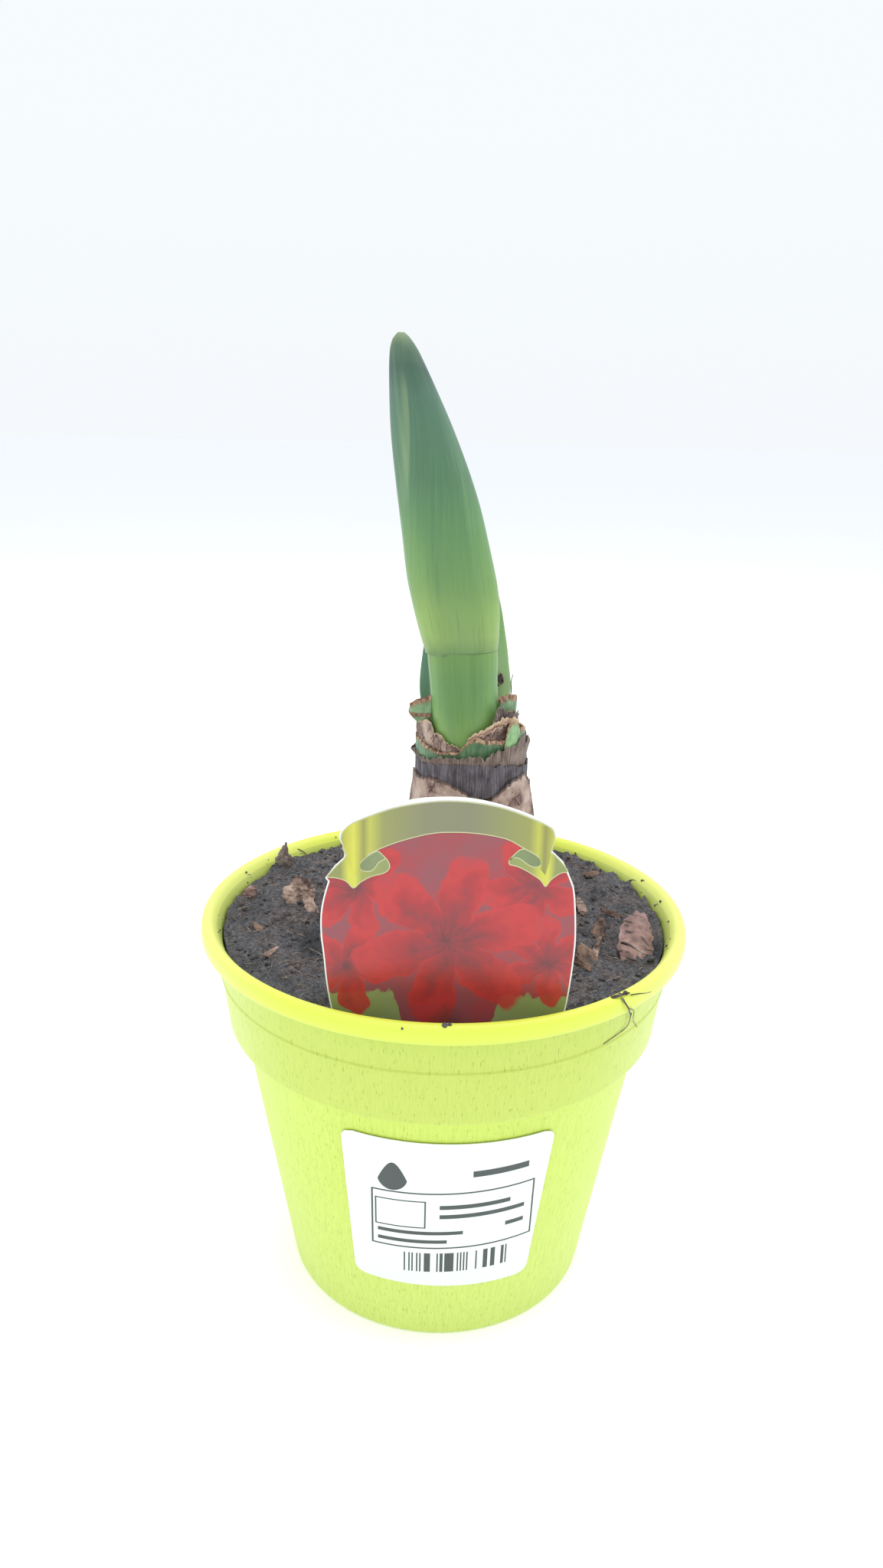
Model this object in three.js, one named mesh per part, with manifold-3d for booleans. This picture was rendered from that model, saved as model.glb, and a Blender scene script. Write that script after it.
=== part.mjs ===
// Potted amaryllis bulb: a round plastic grower's pot filled with soil, a half-buried bulb with
// a short flower stalk and a closed flower bud, two young leaves, a picture label and a sticker.
// Millimetres, +Z up. The origin is the middle of the pot's base, and -Y is the front.

import * as THREE from 'three';
import { mergeVertices } from 'three/addons/utils/BufferGeometryUtils.js';
import Module from 'manifold-3d';

const wasm = await Module();
wasm.setup();

// Driving dimensions

const GAP = 0.3;

const POT_HEIGHT = 106.6;
const RIM_RADIUS = 65;
const COLLAR_TOP_RADIUS = 61.14;
const COLLAR_FOOT_RADIUS = 58.33;
const COLLAR_FOOT_Z = 77.2;
const BODY_TOP_RADIUS = 54.56;
const BODY_TOP_Z = 74.5;
const BODY_FOOT_RADIUS = 42.3;
const BODY_FOOT_Z = 1.6;
const WALL = 1.5;
const FLOOR_TOP_Z = 3.5;
const FOOT_RING_INNER = 36.5;
const POT_SIDES = 56;
const DRAIN_COUNT = 8;
const DRAIN_RADIUS = 3.5;
const DRAIN_CIRCLE = 27;

const SOIL_LEVEL = 101.8;
const SOIL_RELIEF = 2.2;

const NECK_X = 6.3;
const NECK_RADIUS = 12;
const BULB_TOP_Z = 150;
const ROOT_COUNT = 8;
const ROOT_RADIUS = 1.9;

const STALK_Y = -4;
const STALK_HALF_WIDTH = 8.5;
const STALK_HALF_DEPTH = 7.3;
const STALK_FOOT_Z = 140;
const BUD_FOOT_Z = 177.1;
const BUD_LAP = 0.35;

const LABEL_FACE_Y = -50.35;
const LABEL_THICKNESS = 0.7;
const STICKER_WIDTH = 50.4;
const STICKER_HEIGHT = 49.8;
const STICKER_ANGLE = THREE.MathUtils.degToRad(2.3);
const STICKER_MID_Z = 44;
const STICKER_THICKNESS = 0.25;

// Small tools for closed meshes

function seeded(seed) {
  let state = seed;
  return () => {
    state = (state * 1664525 + 1013904223) % 4294967296;
    return state / 4294967296;
  };
}

const smooth = (t) => {
  const c = Math.min(1, Math.max(0, t));
  return c * c * (3 - 2 * c);
};

function hash(i, j) {
  const s = Math.sin(i * 127.1 + j * 311.7) * 43758.5453;
  return s - Math.floor(s);
}

// Soft lumps from -1 to 1 with one lump every cell
function lumps(x, y, cell) {
  const u = x / cell;
  const v = y / cell;
  const i = Math.floor(u);
  const j = Math.floor(v);
  const s = smooth(u - i);
  const t = smooth(v - j);
  const low = hash(i, j) * (1 - s) + hash(i + 1, j) * s;
  const high = hash(i, j + 1) * (1 - s) + hash(i + 1, j + 1) * s;
  return 2 * (low * (1 - t) + high * t) - 1;
}

// Welds a mesh to bare positions, drops collapsed triangles and turns it to face outward
function closed(source) {
  let geometry = source.clone();
  for (const name of ['normal', 'uv', 'color']) {
    geometry.deleteAttribute(name);
  }
  geometry = mergeVertices(geometry, 1e-4);
  const position = geometry.getAttribute('position');
  const old = geometry.getIndex().array;
  const kept = [];
  const a = new THREE.Vector3();
  const b = new THREE.Vector3();
  const c = new THREE.Vector3();
  let volume = 0;
  for (let k = 0; k < old.length; k += 3) {
    const [p, q, r] = [old[k], old[k + 1], old[k + 2]];
    if (p === q || q === r || r === p) {
      continue;
    }
    kept.push(p, q, r);
    a.fromBufferAttribute(position, p);
    b.fromBufferAttribute(position, q);
    c.fromBufferAttribute(position, r);
    volume += a.dot(b.clone().cross(c));
  }
  if (volume < 0) {
    kept.reverse();
  }
  const result = new THREE.BufferGeometry();
  result.setAttribute('position', position);
  result.setIndex(kept);
  return result;
}

function toSolid(geometry) {
  const mesh = new wasm.Mesh({
    numProp: 3,
    vertProperties: new Float32Array(geometry.getAttribute('position').array),
    triVerts: new Uint32Array(geometry.getIndex().array),
  });
  return new wasm.Manifold(mesh);
}

function toGeometry(solid) {
  const mesh = solid.getMesh();
  const geometry = new THREE.BufferGeometry();
  geometry.setAttribute('position', new THREE.BufferAttribute(new Float32Array(mesh.vertProperties), 3));
  geometry.setIndex(new THREE.BufferAttribute(new Uint32Array(mesh.triVerts), 1));
  return geometry;
}

const cut = (body, ...tools) => tools.reduce((left, tool) => left.subtract(toSolid(tool)), toSolid(body));

// A closed skin over rings of equal length, capped at both ends by fans
function loft(rings) {
  const count = rings[0].length;
  const points = rings.flat();
  const index = [];
  for (let i = 0; i + 1 < rings.length; i += 1) {
    for (let j = 0; j < count; j += 1) {
      const next = (j + 1) % count;
      const a = i * count + j;
      const b = i * count + next;
      index.push(a, b, b + count, a, b + count, a + count);
    }
  }
  const middle = (ring) => ring.reduce((sum, p) => sum.add(p), new THREE.Vector3()).divideScalar(count);
  const last = (rings.length - 1) * count;
  points.push(middle(rings[0]), middle(rings[rings.length - 1]));
  for (let j = 0; j < count; j += 1) {
    const next = (j + 1) % count;
    index.push(points.length - 2, next, j);
    index.push(points.length - 1, last + j, last + next);
  }
  const geometry = new THREE.BufferGeometry().setFromPoints(points);
  geometry.setIndex(index);
  return closed(geometry);
}

// Angle 0 faces the front and turns towards +X
function around(cx, cy, z, rx, ry, angle) {
  return new THREE.Vector3(cx + rx * Math.sin(angle), cy - ry * Math.cos(angle), z);
}

function oval(cx, cy, z, rx, ry, count) {
  return Array.from({ length: count }, (_, i) => around(cx, cy, z, rx, ry, (2 * Math.PI * i) / count));
}

// A thin upright band round the neck: wall(angle, height 0 to 1) gives its inner and outer points
function band(start, end, steps, levels, wall) {
  const whole = Math.abs(end - start - 2 * Math.PI) < 1e-6;
  const rings = [];
  for (let i = 0; i <= steps; i += 1) {
    const angle = start + ((end - start) * i) / steps;
    const outer = [];
    const inner = [];
    for (let k = 0; k <= levels; k += 1) {
      const [near, far] = wall(angle, k / levels);
      inner.unshift(near);
      outer.push(far);
    }
    rings.push([...outer, ...inner]);
  }
  if (!whole) {
    return loft(rings);
  }
  const count = rings[0].length;
  const points = rings.slice(0, steps).flat();
  const index = [];
  for (let i = 0; i < steps; i += 1) {
    const ahead = ((i + 1) % steps) * count;
    for (let j = 0; j < count; j += 1) {
      const next = (j + 1) % count;
      index.push(i * count + j, ahead + j, ahead + next, i * count + j, ahead + next, i * count + next);
    }
  }
  const geometry = new THREE.BufferGeometry().setFromPoints(points);
  geometry.setIndex(index);
  return closed(geometry);
}

// Reads a value off straight lines between [place, value] pairs
function along(pairs, place) {
  const last = pairs.length - 1;
  if (place <= pairs[0][0]) {
    return pairs[0][1];
  }
  for (let i = 0; i < last; i += 1) {
    const [p, a] = pairs[i];
    const [q, b] = pairs[i + 1];
    if (place <= q) {
      return a + ((b - a) * (place - p)) / (q - p);
    }
  }
  return pairs[last][1];
}

const group = new THREE.Group();

function add(name, geometry, color, roughness) {
  const shape = geometry.clone();
  shape.computeVertexNormals();
  const mesh = new THREE.Mesh(shape, new THREE.MeshStandardMaterial({ color, roughness, metalness: 0 }));
  mesh.name = name;
  group.add(mesh);
}

// Pot: one thin moulded wall with a rolled rim, a collar, a step, a taper and a foot ring

const taper = (z) => {
  const share = (z - BODY_FOOT_Z) / (BODY_TOP_Z - BODY_FOOT_Z);
  return BODY_FOOT_RADIUS + (BODY_TOP_RADIUS - BODY_FOOT_RADIUS) * share;
};

const collar = (z) => {
  const share = (z - COLLAR_FOOT_Z) / (POT_HEIGHT - 5 - COLLAR_FOOT_Z);
  return COLLAR_FOOT_RADIUS + (COLLAR_TOP_RADIUS - COLLAR_FOOT_RADIUS) * share;
};

const BEAD_Z = POT_HEIGHT - 5;
const LINE_Z = 91.6;
const INNER_STEP_TOP = COLLAR_FOOT_Z + 0.4;
const INNER_STEP_FOOT = BODY_TOP_Z + 0.7;

const potOutline = [
  [0, 2],
  [FOOT_RING_INNER - 0.7, 2],
  [FOOT_RING_INNER, 0],
  [BODY_FOOT_RADIUS - 1, 0],
  [BODY_FOOT_RADIUS, BODY_FOOT_Z],
  [BODY_TOP_RADIUS, BODY_TOP_Z],
  [COLLAR_FOOT_RADIUS, COLLAR_FOOT_Z],
  [collar(LINE_Z - 0.5), LINE_Z - 0.5],
  [collar(LINE_Z) + 0.3, LINE_Z],
  [collar(LINE_Z + 0.5), LINE_Z + 0.5],
  [COLLAR_TOP_RADIUS, BEAD_Z],
  [RIM_RADIUS - 1, BEAD_Z],
  [RIM_RADIUS - 0.3, BEAD_Z + 0.6],
  [RIM_RADIUS, BEAD_Z + 2],
  [RIM_RADIUS - 0.3, POT_HEIGHT - 1.1],
  [RIM_RADIUS - 1, POT_HEIGHT - 0.3],
  [RIM_RADIUS - 1.8, POT_HEIGHT],
  [RIM_RADIUS - 2.6, POT_HEIGHT - 0.3],
  [RIM_RADIUS - 3.8, POT_HEIGHT - 1.6],
  [RIM_RADIUS - 4.8, POT_HEIGHT - 3.4],
  [collar(BEAD_Z) - WALL, BEAD_Z],
  [collar(INNER_STEP_TOP) - WALL, INNER_STEP_TOP],
  [taper(INNER_STEP_FOOT) - WALL, INNER_STEP_FOOT],
  [taper(FLOOR_TOP_Z) - WALL, FLOOR_TOP_Z],
  [taper(WALL) - WALL, WALL],
  [FOOT_RING_INNER + 1, WALL],
  [FOOT_RING_INNER, FLOOR_TOP_Z],
  [0, FLOOR_TOP_Z],
];

const potShell = new THREE.LatheGeometry(potOutline.map(([r, z]) => new THREE.Vector2(r, z)), POT_SIDES);
potShell.rotateX(Math.PI / 2);

const drains = Array.from({ length: DRAIN_COUNT }, (_, i) => {
  const angle = (2 * Math.PI * (i + 0.5)) / DRAIN_COUNT;
  const hole = new THREE.CylinderGeometry(DRAIN_RADIUS, DRAIN_RADIUS, 8, 12);
  hole.rotateX(Math.PI / 2);
  hole.translate(DRAIN_CIRCLE * Math.sin(angle), -DRAIN_CIRCLE * Math.cos(angle), 2);
  return closed(hole);
});

add('pot', toGeometry(cut(closed(potShell), ...drains)), '#d8ee70', 0.42);

// Bulb: round body on a basal plate with fleshy roots, drawn up into a narrow neck

const bulbProfile = [
  [34, 9],
  [35, 14],
  [40, 19.5],
  [47, 27.5],
  [55, 33],
  [65, 36.6],
  [76, 37.4],
  [88, 35.6],
  [98, 32.6],
  [106, 29.6],
  [113, 26.6],
  [120, 22.4],
  [126, 18.3],
  [132, 15.2],
  [137, 13.5],
  [142, 12.5],
  [BULB_TOP_Z, NECK_RADIUS],
];

const bulbRadius = (z) => along(bulbProfile, z);
const bulbX = (z) => 2.5 + (NECK_X - 2.5) * smooth((z - 60) / 75);
const bulbRings = (extra, lift) =>
  bulbProfile.map(([z, r], i) => {
    const height = i === 0 ? z - extra : z;
    const top = i === bulbProfile.length - 1 ? lift : 0;
    return oval(bulbX(z), 0, height + top, r + extra, r + extra, 28);
  });

const rootRandom = seeded(7);
const rootPaths = Array.from({ length: ROOT_COUNT }, (_, i) => {
  const angle = (2 * Math.PI * (i + 0.4 * rootRandom())) / ROOT_COUNT;
  const reach = 22 + 6 * rootRandom();
  const drop = 12 + 7 * rootRandom();
  return new THREE.CatmullRomCurve3([
    around(2.5, 0, 38, 9, 9, angle),
    around(2.5, 0, 33, 16, 16, angle + 0.1),
    around(2.5, 0, 33 - 0.45 * drop, reach * 0.85, reach * 0.85, angle + 0.2),
    around(2.5, 0, 33 - drop, reach, reach, angle + 0.35),
  ]);
});

function root(path, radius) {
  const section = new THREE.Shape();
  section.absarc(0, 0, radius, 0, 2 * Math.PI, false);
  return closed(new THREE.ExtrudeGeometry(section, { steps: 7, curveSegments: 3, extrudePath: path }));
}

function bulbSolid(extra, lift) {
  const roots = rootPaths.map((path) => toSolid(root(path, ROOT_RADIUS + extra)));
  return roots.reduce((whole, one) => whole.add(one), toSolid(loft(bulbRings(extra, lift))));
}

// Flower stalk: slightly flattened, leaning a little to the left as it rises

const stalkX = (z) => 5.6 - 0.068 * (z - STALK_FOOT_Z);

function stalk(extra, top) {
  const heights = [STALK_FOOT_Z - extra, 150, 160, 168, top];
  return loft(
    heights.map((z) =>
      oval(stalkX(z), STALK_Y, z, STALK_HALF_WIDTH + extra, STALK_HALF_DEPTH + extra, 24)
    )
  );
}

add('flower_stalk', stalk(0, BUD_FOOT_Z - GAP), '#7fae5c', 0.4);

// Leaves: two thick young straps behind the stalk, hollowed towards it

// edges gives [height, left edge, right edge] from root to tip
function leaf(edges, midY, hollow, extra) {
  const lefts = edges.map(([z, left]) => [z, left]);
  const rights = edges.map(([z, , right]) => [z, right]);
  const foot = edges[0][0];
  const top = edges[edges.length - 1][0];
  const levels = 14;
  const across = 8;
  return loft(
    Array.from({ length: levels + 1 }, (_, k) => {
      const z = foot + ((top - foot) * k) / levels;
      const left = along(lefts, z) - extra;
      const right = along(rights, z) + extra;
      const side = (share, face) => {
        const u = 2 * share - 1;
        const half = 0.4 + 0.5 * (1 - u * u) + extra;
        const lean = 0.02 * (z - foot);
        return new THREE.Vector3(left + (right - left) * share, midY - hollow * u * u + lean + face * half, z);
      };
      const shares = Array.from({ length: across + 1 }, (_, i) => i / across);
      const front = shares.map((share) => side(share, -1));
      const back = shares.map((share) => side(share, 1)).reverse();
      const grown = k === 0 ? -extra : extra;
      const lifted = k === 0 || k === levels ? grown : 0;
      return [...front, ...back].map((p) => p.setZ(p.z + lifted));
    })
  );
}

const leftLeafEdges = [
  [143, -1.5, 8.5],
  [152, -2.8, 9],
  [158, -4.8, 10],
  [163, -7.5, 10.5],
  [175, -7, 10],
  [186, -4.8, 7.5],
  [193, -2.2, 4.6],
  [196, 0, 2],
];

const rightLeafEdges = [
  [143, 1.5, 11],
  [152, 0.5, 12],
  [158, -1.5, 14],
  [164, -2.5, 16.2],
  [172, -2.8, 15.5],
  [178, -2.6, 14.6],
  [189, -1.8, 12.3],
  [198, 0.2, 8.8],
  [203, 2.4, 5.4],
];

const leftLeaf = (extra) => leaf(leftLeafEdges, 7.4, 1.9, extra);
const rightLeaf = (extra) => leaf(rightLeafEdges, 10.4, 1.9, extra);

add('leaf_left', leftLeaf(0), '#4d7a52', 0.45);
add('leaf_right', rightLeaf(0), '#79a552', 0.45);

const growing = [stalk(GAP, BUD_FOOT_Z + 5), leftLeaf(GAP), rightLeaf(GAP)];
const grownSolids = growing.map(toSolid);
const clearOfGrowth = (solid) => grownSolids.reduce((left, tool) => left.subtract(tool), solid);

add('bulb', toGeometry(clearOfGrowth(bulbSolid(0, 0))), '#8c6a4a', 0.7);

// Flower bud: two bracts clasped edge to edge, the front one lapping over the left one

const budLine = new THREE.CatmullRomCurve3(
  [
    [BUD_FOOT_Z, 2.75, 8.95],
    [181.5, 2.2, 9.8],
    [188.8, 1.16, 10.7],
    [195.5, -0.1, 10.9],
    [205, -2, 10.2],
    [217, -4.7, 9.1],
    [229, -7.8, 7.35],
    [239, -10.4, 5.2],
    [246.5, -12.3, 3],
    [250.8, -12.9, 0.7],
  ].map(([z, x, half]) => new THREE.Vector3(x, half, z))
);

// The seam starts at the middle of the tip and turns to the left on its way down
const seamAngle = (z) => THREE.MathUtils.degToRad(-8 - 62 * (1 - smooth((z - 190) / 56)));

function bract(side) {
  const levels = 24;
  const steps = 14;
  const lap = side > 0 ? BUD_LAP : 0;
  return loft(
    Array.from({ length: levels + 1 }, (_, k) => {
      const { x, y: half, z } = budLine.getPoint(k / levels);
      const depth = half * (0.82 - 0.14 * smooth((z - BUD_FOOT_Z) / 14) + 0.1 * smooth((z - 225) / 25));
      const start = seamAngle(z) + (side > 0 ? 0 : Math.PI);
      const tip = z > 248 ? 0.5 : 1;
      const rim = Array.from({ length: steps + 1 }, (__, i) => {
        const angle = start + (Math.PI * i) / steps;
        return around(x, STALK_Y, z, half + lap * tip, depth + lap * tip, angle);
      });
      // Both ends of the half oval step back from the seam plane by half the gap
      const push = new THREE.Vector3(Math.sin(start + Math.PI / 2), -Math.cos(start + Math.PI / 2), 0);
      return rim.map((p) => p.addScaledVector(push, GAP / 2));
    })
  );
}

add('bract_front', bract(1), '#6f9c5e', 0.42);
add('bract_left', bract(-1), '#86a873', 0.42);

// Cut leaf bases round the neck: the outer one has a notch at the front, and the inner one stands
// open towards the stalk

const degrees = THREE.MathUtils.degToRad;
const turn = (angle) => THREE.MathUtils.euclideanModulo(angle + Math.PI, 2 * Math.PI) - Math.PI;
const torn = (seed, amount) => {
  const random = seeded(seed);
  const waves = Array.from({ length: 5 }, (_, i) => [3 + 3 * i, 2 * Math.PI * random(), amount / (1 + 0.5 * i)]);
  return (angle) => waves.reduce((sum, [n, phase, size]) => sum + size * Math.sin(n * angle + phase), 0);
};

const outerRim = [
  [-180, 157],
  [-125, 154.8],
  [-90, 155],
  [-47, 157.6],
  [-15, 153.8],
  [-2, 157.7],
  [25, 161.5],
  [60, 159.5],
  [90, 157],
  [180, 157],
];
const outerTear = torn(11, 0.3);
const outerScale = band(0, 2 * Math.PI, 40, 4, (angle, level) => {
  const top = along(outerRim, THREE.MathUtils.radToDeg(turn(angle))) + outerTear(angle);
  const z = 147 + (top - 147) * level;
  const radius = NECK_RADIUS + GAP + 0.06 * Math.max(0, z - BULB_TOP_Z);
  return [
    around(NECK_X, 0, z, radius, radius, angle),
    around(NECK_X, 0, z, radius + 0.8, radius + 0.8, angle),
  ];
});
add('neck_scale_outer', toGeometry(clearOfGrowth(toSolid(outerScale))), '#5f8f5a', 0.55);

const innerRim = [
  [65, 157.5],
  [92, 162.5],
  [120, 160.5],
  [180, 162],
  [235, 161],
  [268, 163.4],
  [295, 158],
];
const innerTear = torn(23, 0.35);
const innerScale = band(degrees(65), degrees(295), 28, 5, (angle, level) => {
  const top = along(innerRim, THREE.MathUtils.radToDeg(angle)) + innerTear(angle);
  const foot = BULB_TOP_Z + GAP;
  const z = foot + (top - foot) * level;
  const flare = smooth((z - 155.6) / 6);
  const wide = 11.9 + 2 * flare;
  const deep = 11.9 + 0.7 * flare;
  const middle = NECK_X - 2.2 * flare;
  return [
    around(middle, 0, z, wide - 0.9, deep - 0.9, angle),
    around(middle, 0, z, wide, deep, angle),
  ];
});
add('neck_scale_inner', toGeometry(clearOfGrowth(toSolid(innerScale))), '#6a9660', 0.55);

// Dry tunics: a papery brown skin over the shoulder, and a dark band round the neck over it

const skinTop = torn(31, 0.5);
const skinFoot = torn(37, 1.4);
const paperySkin = band(0, 2 * Math.PI, 44, 7, (angle, level) => {
  const foot = 109 + skinFoot(angle);
  const top = 145 + 0.4 * skinTop(angle);
  const z = foot + (top - foot) * level;
  const ripple = 0.35 * (1 + Math.sin(9 * angle + 0.05 * z)) * smooth((140 - z) / 8);
  const lift = 1.2 * smooth((116 - z) / 8);
  const radius = bulbRadius(z) + GAP + 0.1 + ripple + lift;
  return [
    around(bulbX(z), 0, z, radius, radius, angle),
    around(bulbX(z), 0, z, radius + 0.7, radius + 0.7, angle),
  ];
});
add('papery_skin', paperySkin, '#b08a6c', 0.8);

const bandTop = [
  [-180, 153],
  [-90, 150.5],
  [-60, 151.5],
  [0, 152],
  [45, 152.5],
  [85, 154.5],
  [110, 153.5],
  [180, 153],
];
const bandTear = torn(43, 0.35);
const darkSkin = band(0, 2 * Math.PI, 44, 4, (angle, level) => {
  const facing = turn(angle);
  const foot = 142.4 + 6 * Math.abs(Math.sin((facing - degrees(18)) / 2)) + 0.5 * bandTear(angle + 1);
  const top = along(bandTop, THREE.MathUtils.radToDeg(facing)) + bandTear(angle);
  const z = foot + (top - foot) * level;
  const flare = 0.5 * smooth((level - 0.6) / 0.4) * (1 + Math.sin(7 * angle));
  const radius = 13.95 + 0.8 * flare;
  return [
    around(NECK_X, 0, z, radius, radius, angle),
    around(NECK_X, 0, z, radius + 0.7, radius + 0.7, angle),
  ];
});
add('dark_skin', darkSkin, '#5a4f52', 0.8);

// Picture label: a die-cut plastic sheet with a ribbon across its top and a stake in the soil

const labelOutline = new THREE.Shape();
labelOutline.moveTo(-23.6, 145.4);
labelOutline.splineThru([
  new THREE.Vector2(-14.5, 151.6),
  new THREE.Vector2(0, 154.6),
  new THREE.Vector2(11.6, 153.1),
  new THREE.Vector2(23.1, 148.7),
]);
labelOutline.lineTo(23.9, 146.5);
labelOutline.lineTo(23.2, 142.6);
labelOutline.lineTo(25.9, 140);
labelOutline.lineTo(27.2, 137.4);
labelOutline.splineThru([
  new THREE.Vector2(29, 131.2),
  new THREE.Vector2(29.7, 119.7),
  new THREE.Vector2(28.3, 103),
  new THREE.Vector2(25, 95.5),
]);
labelOutline.lineTo(6, 91);
labelOutline.lineTo(4.6, 70);
labelOutline.lineTo(0.9, 66);
labelOutline.lineTo(-2.8, 70);
labelOutline.lineTo(-4.2, 91);
labelOutline.lineTo(-23, 95.5);
labelOutline.splineThru([
  new THREE.Vector2(-25.7, 102),
  new THREE.Vector2(-27.4, 116),
  new THREE.Vector2(-27.9, 126),
  new THREE.Vector2(-26.1, 134.3),
]);
labelOutline.lineTo(-26.7, 135);
labelOutline.lineTo(-24.7, 137.8);
labelOutline.lineTo(-22.6, 139.9);
labelOutline.lineTo(-22.4, 141.9);
labelOutline.lineTo(-23.6, 144.6);

function label(extra) {
  const depth = LABEL_THICKNESS + 2 * extra;
  const sheet = new THREE.ExtrudeGeometry(labelOutline, { depth, bevelEnabled: false, curveSegments: 3 });
  sheet.rotateX(Math.PI / 2);
  sheet.translate(0, LABEL_FACE_Y + LABEL_THICKNESS + extra, 0);
  return closed(sheet);
}
add('picture_label', label(0), '#b8565c', 0.35);

// The slot that the label's buried part stands in
function labelSlot() {
  const slot = label(GAP);
  slot.translate(0, 0, -GAP);
  const wider = [-GAP, GAP].map((shift) => toSolid(slot.clone().translate(shift, 0, 0)));
  return wider.reduce((whole, one) => whole.add(one), toSolid(label(GAP)));
}

// Loose dry husks and bark chips, each pressed a little into the soil

const soilTop = (x, y) => {
  const reach = Math.hypot(x, y);
  const heap = 0.8 * smooth((44 - Math.hypot(x - 5, y)) / 14) + 1.3 * smooth((y - 5) / 30);
  const pressed = 3.4 * smooth((-44 - y) / 6) * smooth((34 - Math.abs(x - 1)) / 8);
  const edge = 0.5 * smooth((reach - 50) / 9) * smooth((5 - y) / 10);
  const relief = SOIL_RELIEF * (0.65 * lumps(x, y, 11) + 0.35 * lumps(x + 40, y - 17, 5));
  return SOIL_LEVEL + heap - pressed + relief - edge;
};

const husks = [
  { name: 'husk_left', at: [-41, 10.5], size: [4.4, 5.2], tilt: [55, 8, -10], rise: 2.6, color: '#b79a7e' },
  { name: 'husk_back', at: [-48.2, 31.6], size: [2.3, 5.4], tilt: [84, 0, 34], rise: 4, color: '#5d5054' },
  { name: 'husk_small', at: [-55, 11.5], size: [1.7, 2.2], tilt: [50, -20, 60], rise: 1.2, color: '#9a6a66' },
  { name: 'husk_right', at: [50.4, -13.5], size: [4.5, 7.8], tilt: [24, 14, -16], rise: 1.6, color: '#9c7a68' },
  { name: 'bark_near', at: [36.8, -21], size: [2.3, 4.2], tilt: [20, 10, 30], rise: 0.7, color: '#a88d72' },
  { name: 'bark_far', at: [41.5, -8], size: [1.7, 4.6], tilt: [26, -10, -18], rise: 0.8, color: '#a98a7c' },
];

function husk({ at, size, tilt, rise, name }, extra) {
  const random = seeded(name.length * 101 + Math.round(size[1] * 10));
  const count = 13;
  const radii = Array.from({ length: count }, () => 0.72 + 0.4 * random());
  const face = (height) =>
    radii.map((share, i) => {
      const angle = (2 * Math.PI * i) / count;
      const x = (size[0] * share + extra) * Math.cos(angle);
      const y = (size[1] * share + extra) * Math.sin(angle);
      return new THREE.Vector3(x, y, height + 0.05 * x * x + 0.012 * y * y);
    });
  const solid = loft([face(-0.4 - extra), face(0.4 + extra)]);
  solid.rotateX(degrees(tilt[0]));
  solid.rotateY(degrees(tilt[1]));
  solid.rotateZ(degrees(tilt[2]));
  solid.translate(at[0], at[1], soilTop(...at) + rise);
  return solid;
}

for (const one of husks) {
  add(one.name, husk(one, 0), one.color, 0.85);
}

// Soil: fills the pot to just under the rim, lumpy on top, round the bulb, roots, label and husks

const soilWall = [
  [FOOT_RING_INNER + GAP, FLOOR_TOP_Z + GAP],
  [FOOT_RING_INNER + 1 + 1.5 * GAP, WALL + GAP],
  [taper(WALL + GAP) - WALL - GAP, WALL + GAP],
  [taper(INNER_STEP_FOOT) - WALL - GAP, INNER_STEP_FOOT],
  [collar(INNER_STEP_TOP) - WALL - GAP, INNER_STEP_TOP + GAP],
];
const soilRings = soilWall.map(([r, z]) => oval(0, 0, z, r, r, POT_SIDES));
const soilRows = 12;
for (let k = 0; k < soilRows; k += 1) {
  const nominal = collar(SOIL_LEVEL) - WALL - GAP;
  const ring = oval(0, 0, 0, 1, 1, POT_SIDES).map((way) => {
    const wall = collar(soilTop(way.x * nominal, way.y * nominal) - 0.5) - WALL - GAP;
    const p = way.multiplyScalar(wall * (1 - k / soilRows));
    return p.setZ(soilTop(p.x, p.y));
  });
  soilRings.push(ring);
}

const soilTools = [bulbSolid(GAP, 30), labelSlot(), ...husks.map((one) => toSolid(husk(one, GAP)))];
const soil = soilTools.reduce((left, tool) => left.subtract(tool), toSolid(loft(soilRings)));
add('soil', toGeometry(soil), '#3d383a', 0.95);

// Sticker: a square paper label bent round the tapered wall below the collar

function sticker() {
  const columns = 16;
  const slope = (BODY_TOP_RADIUS - BODY_FOOT_RADIUS) / (BODY_TOP_Z - BODY_FOOT_Z);
  const rise = STICKER_HEIGHT / Math.hypot(1, slope);
  const corner = 3;
  const inset = (t) => {
    const near = Math.min(t, 1 - t) * STICKER_HEIGHT;
    return near >= corner ? 0 : corner - Math.sqrt(corner * corner - (corner - near) ** 2);
  };
  const stops = [0, 0.012, 0.035, 0.06, 0.35, 0.65, 0.94, 0.965, 0.988, 1];
  const place = (t, share, lift) => {
    const z = STICKER_MID_Z + rise * (t - 0.5);
    const radius = taper(z) + GAP + lift;
    const half = STICKER_WIDTH / 2 - inset(t);
    const angle = STICKER_ANGLE + (half * (2 * share - 1)) / taper(z);
    return around(0, 0, z, radius, radius, angle);
  };
  const shares = Array.from({ length: columns + 1 }, (_, i) => i / columns);
  return loft(
    stops.map((t) => [
      ...shares.map((share) => place(t, share, STICKER_THICKNESS)),
      ...shares.map((share) => place(t, share, 0)).reverse(),
    ])
  );
}
add('sticker', sticker(), '#f2f2ee', 0.6);

export default group;
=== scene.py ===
import math
import random

import bpy
from mathutils import Matrix, Vector, noise


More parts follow.
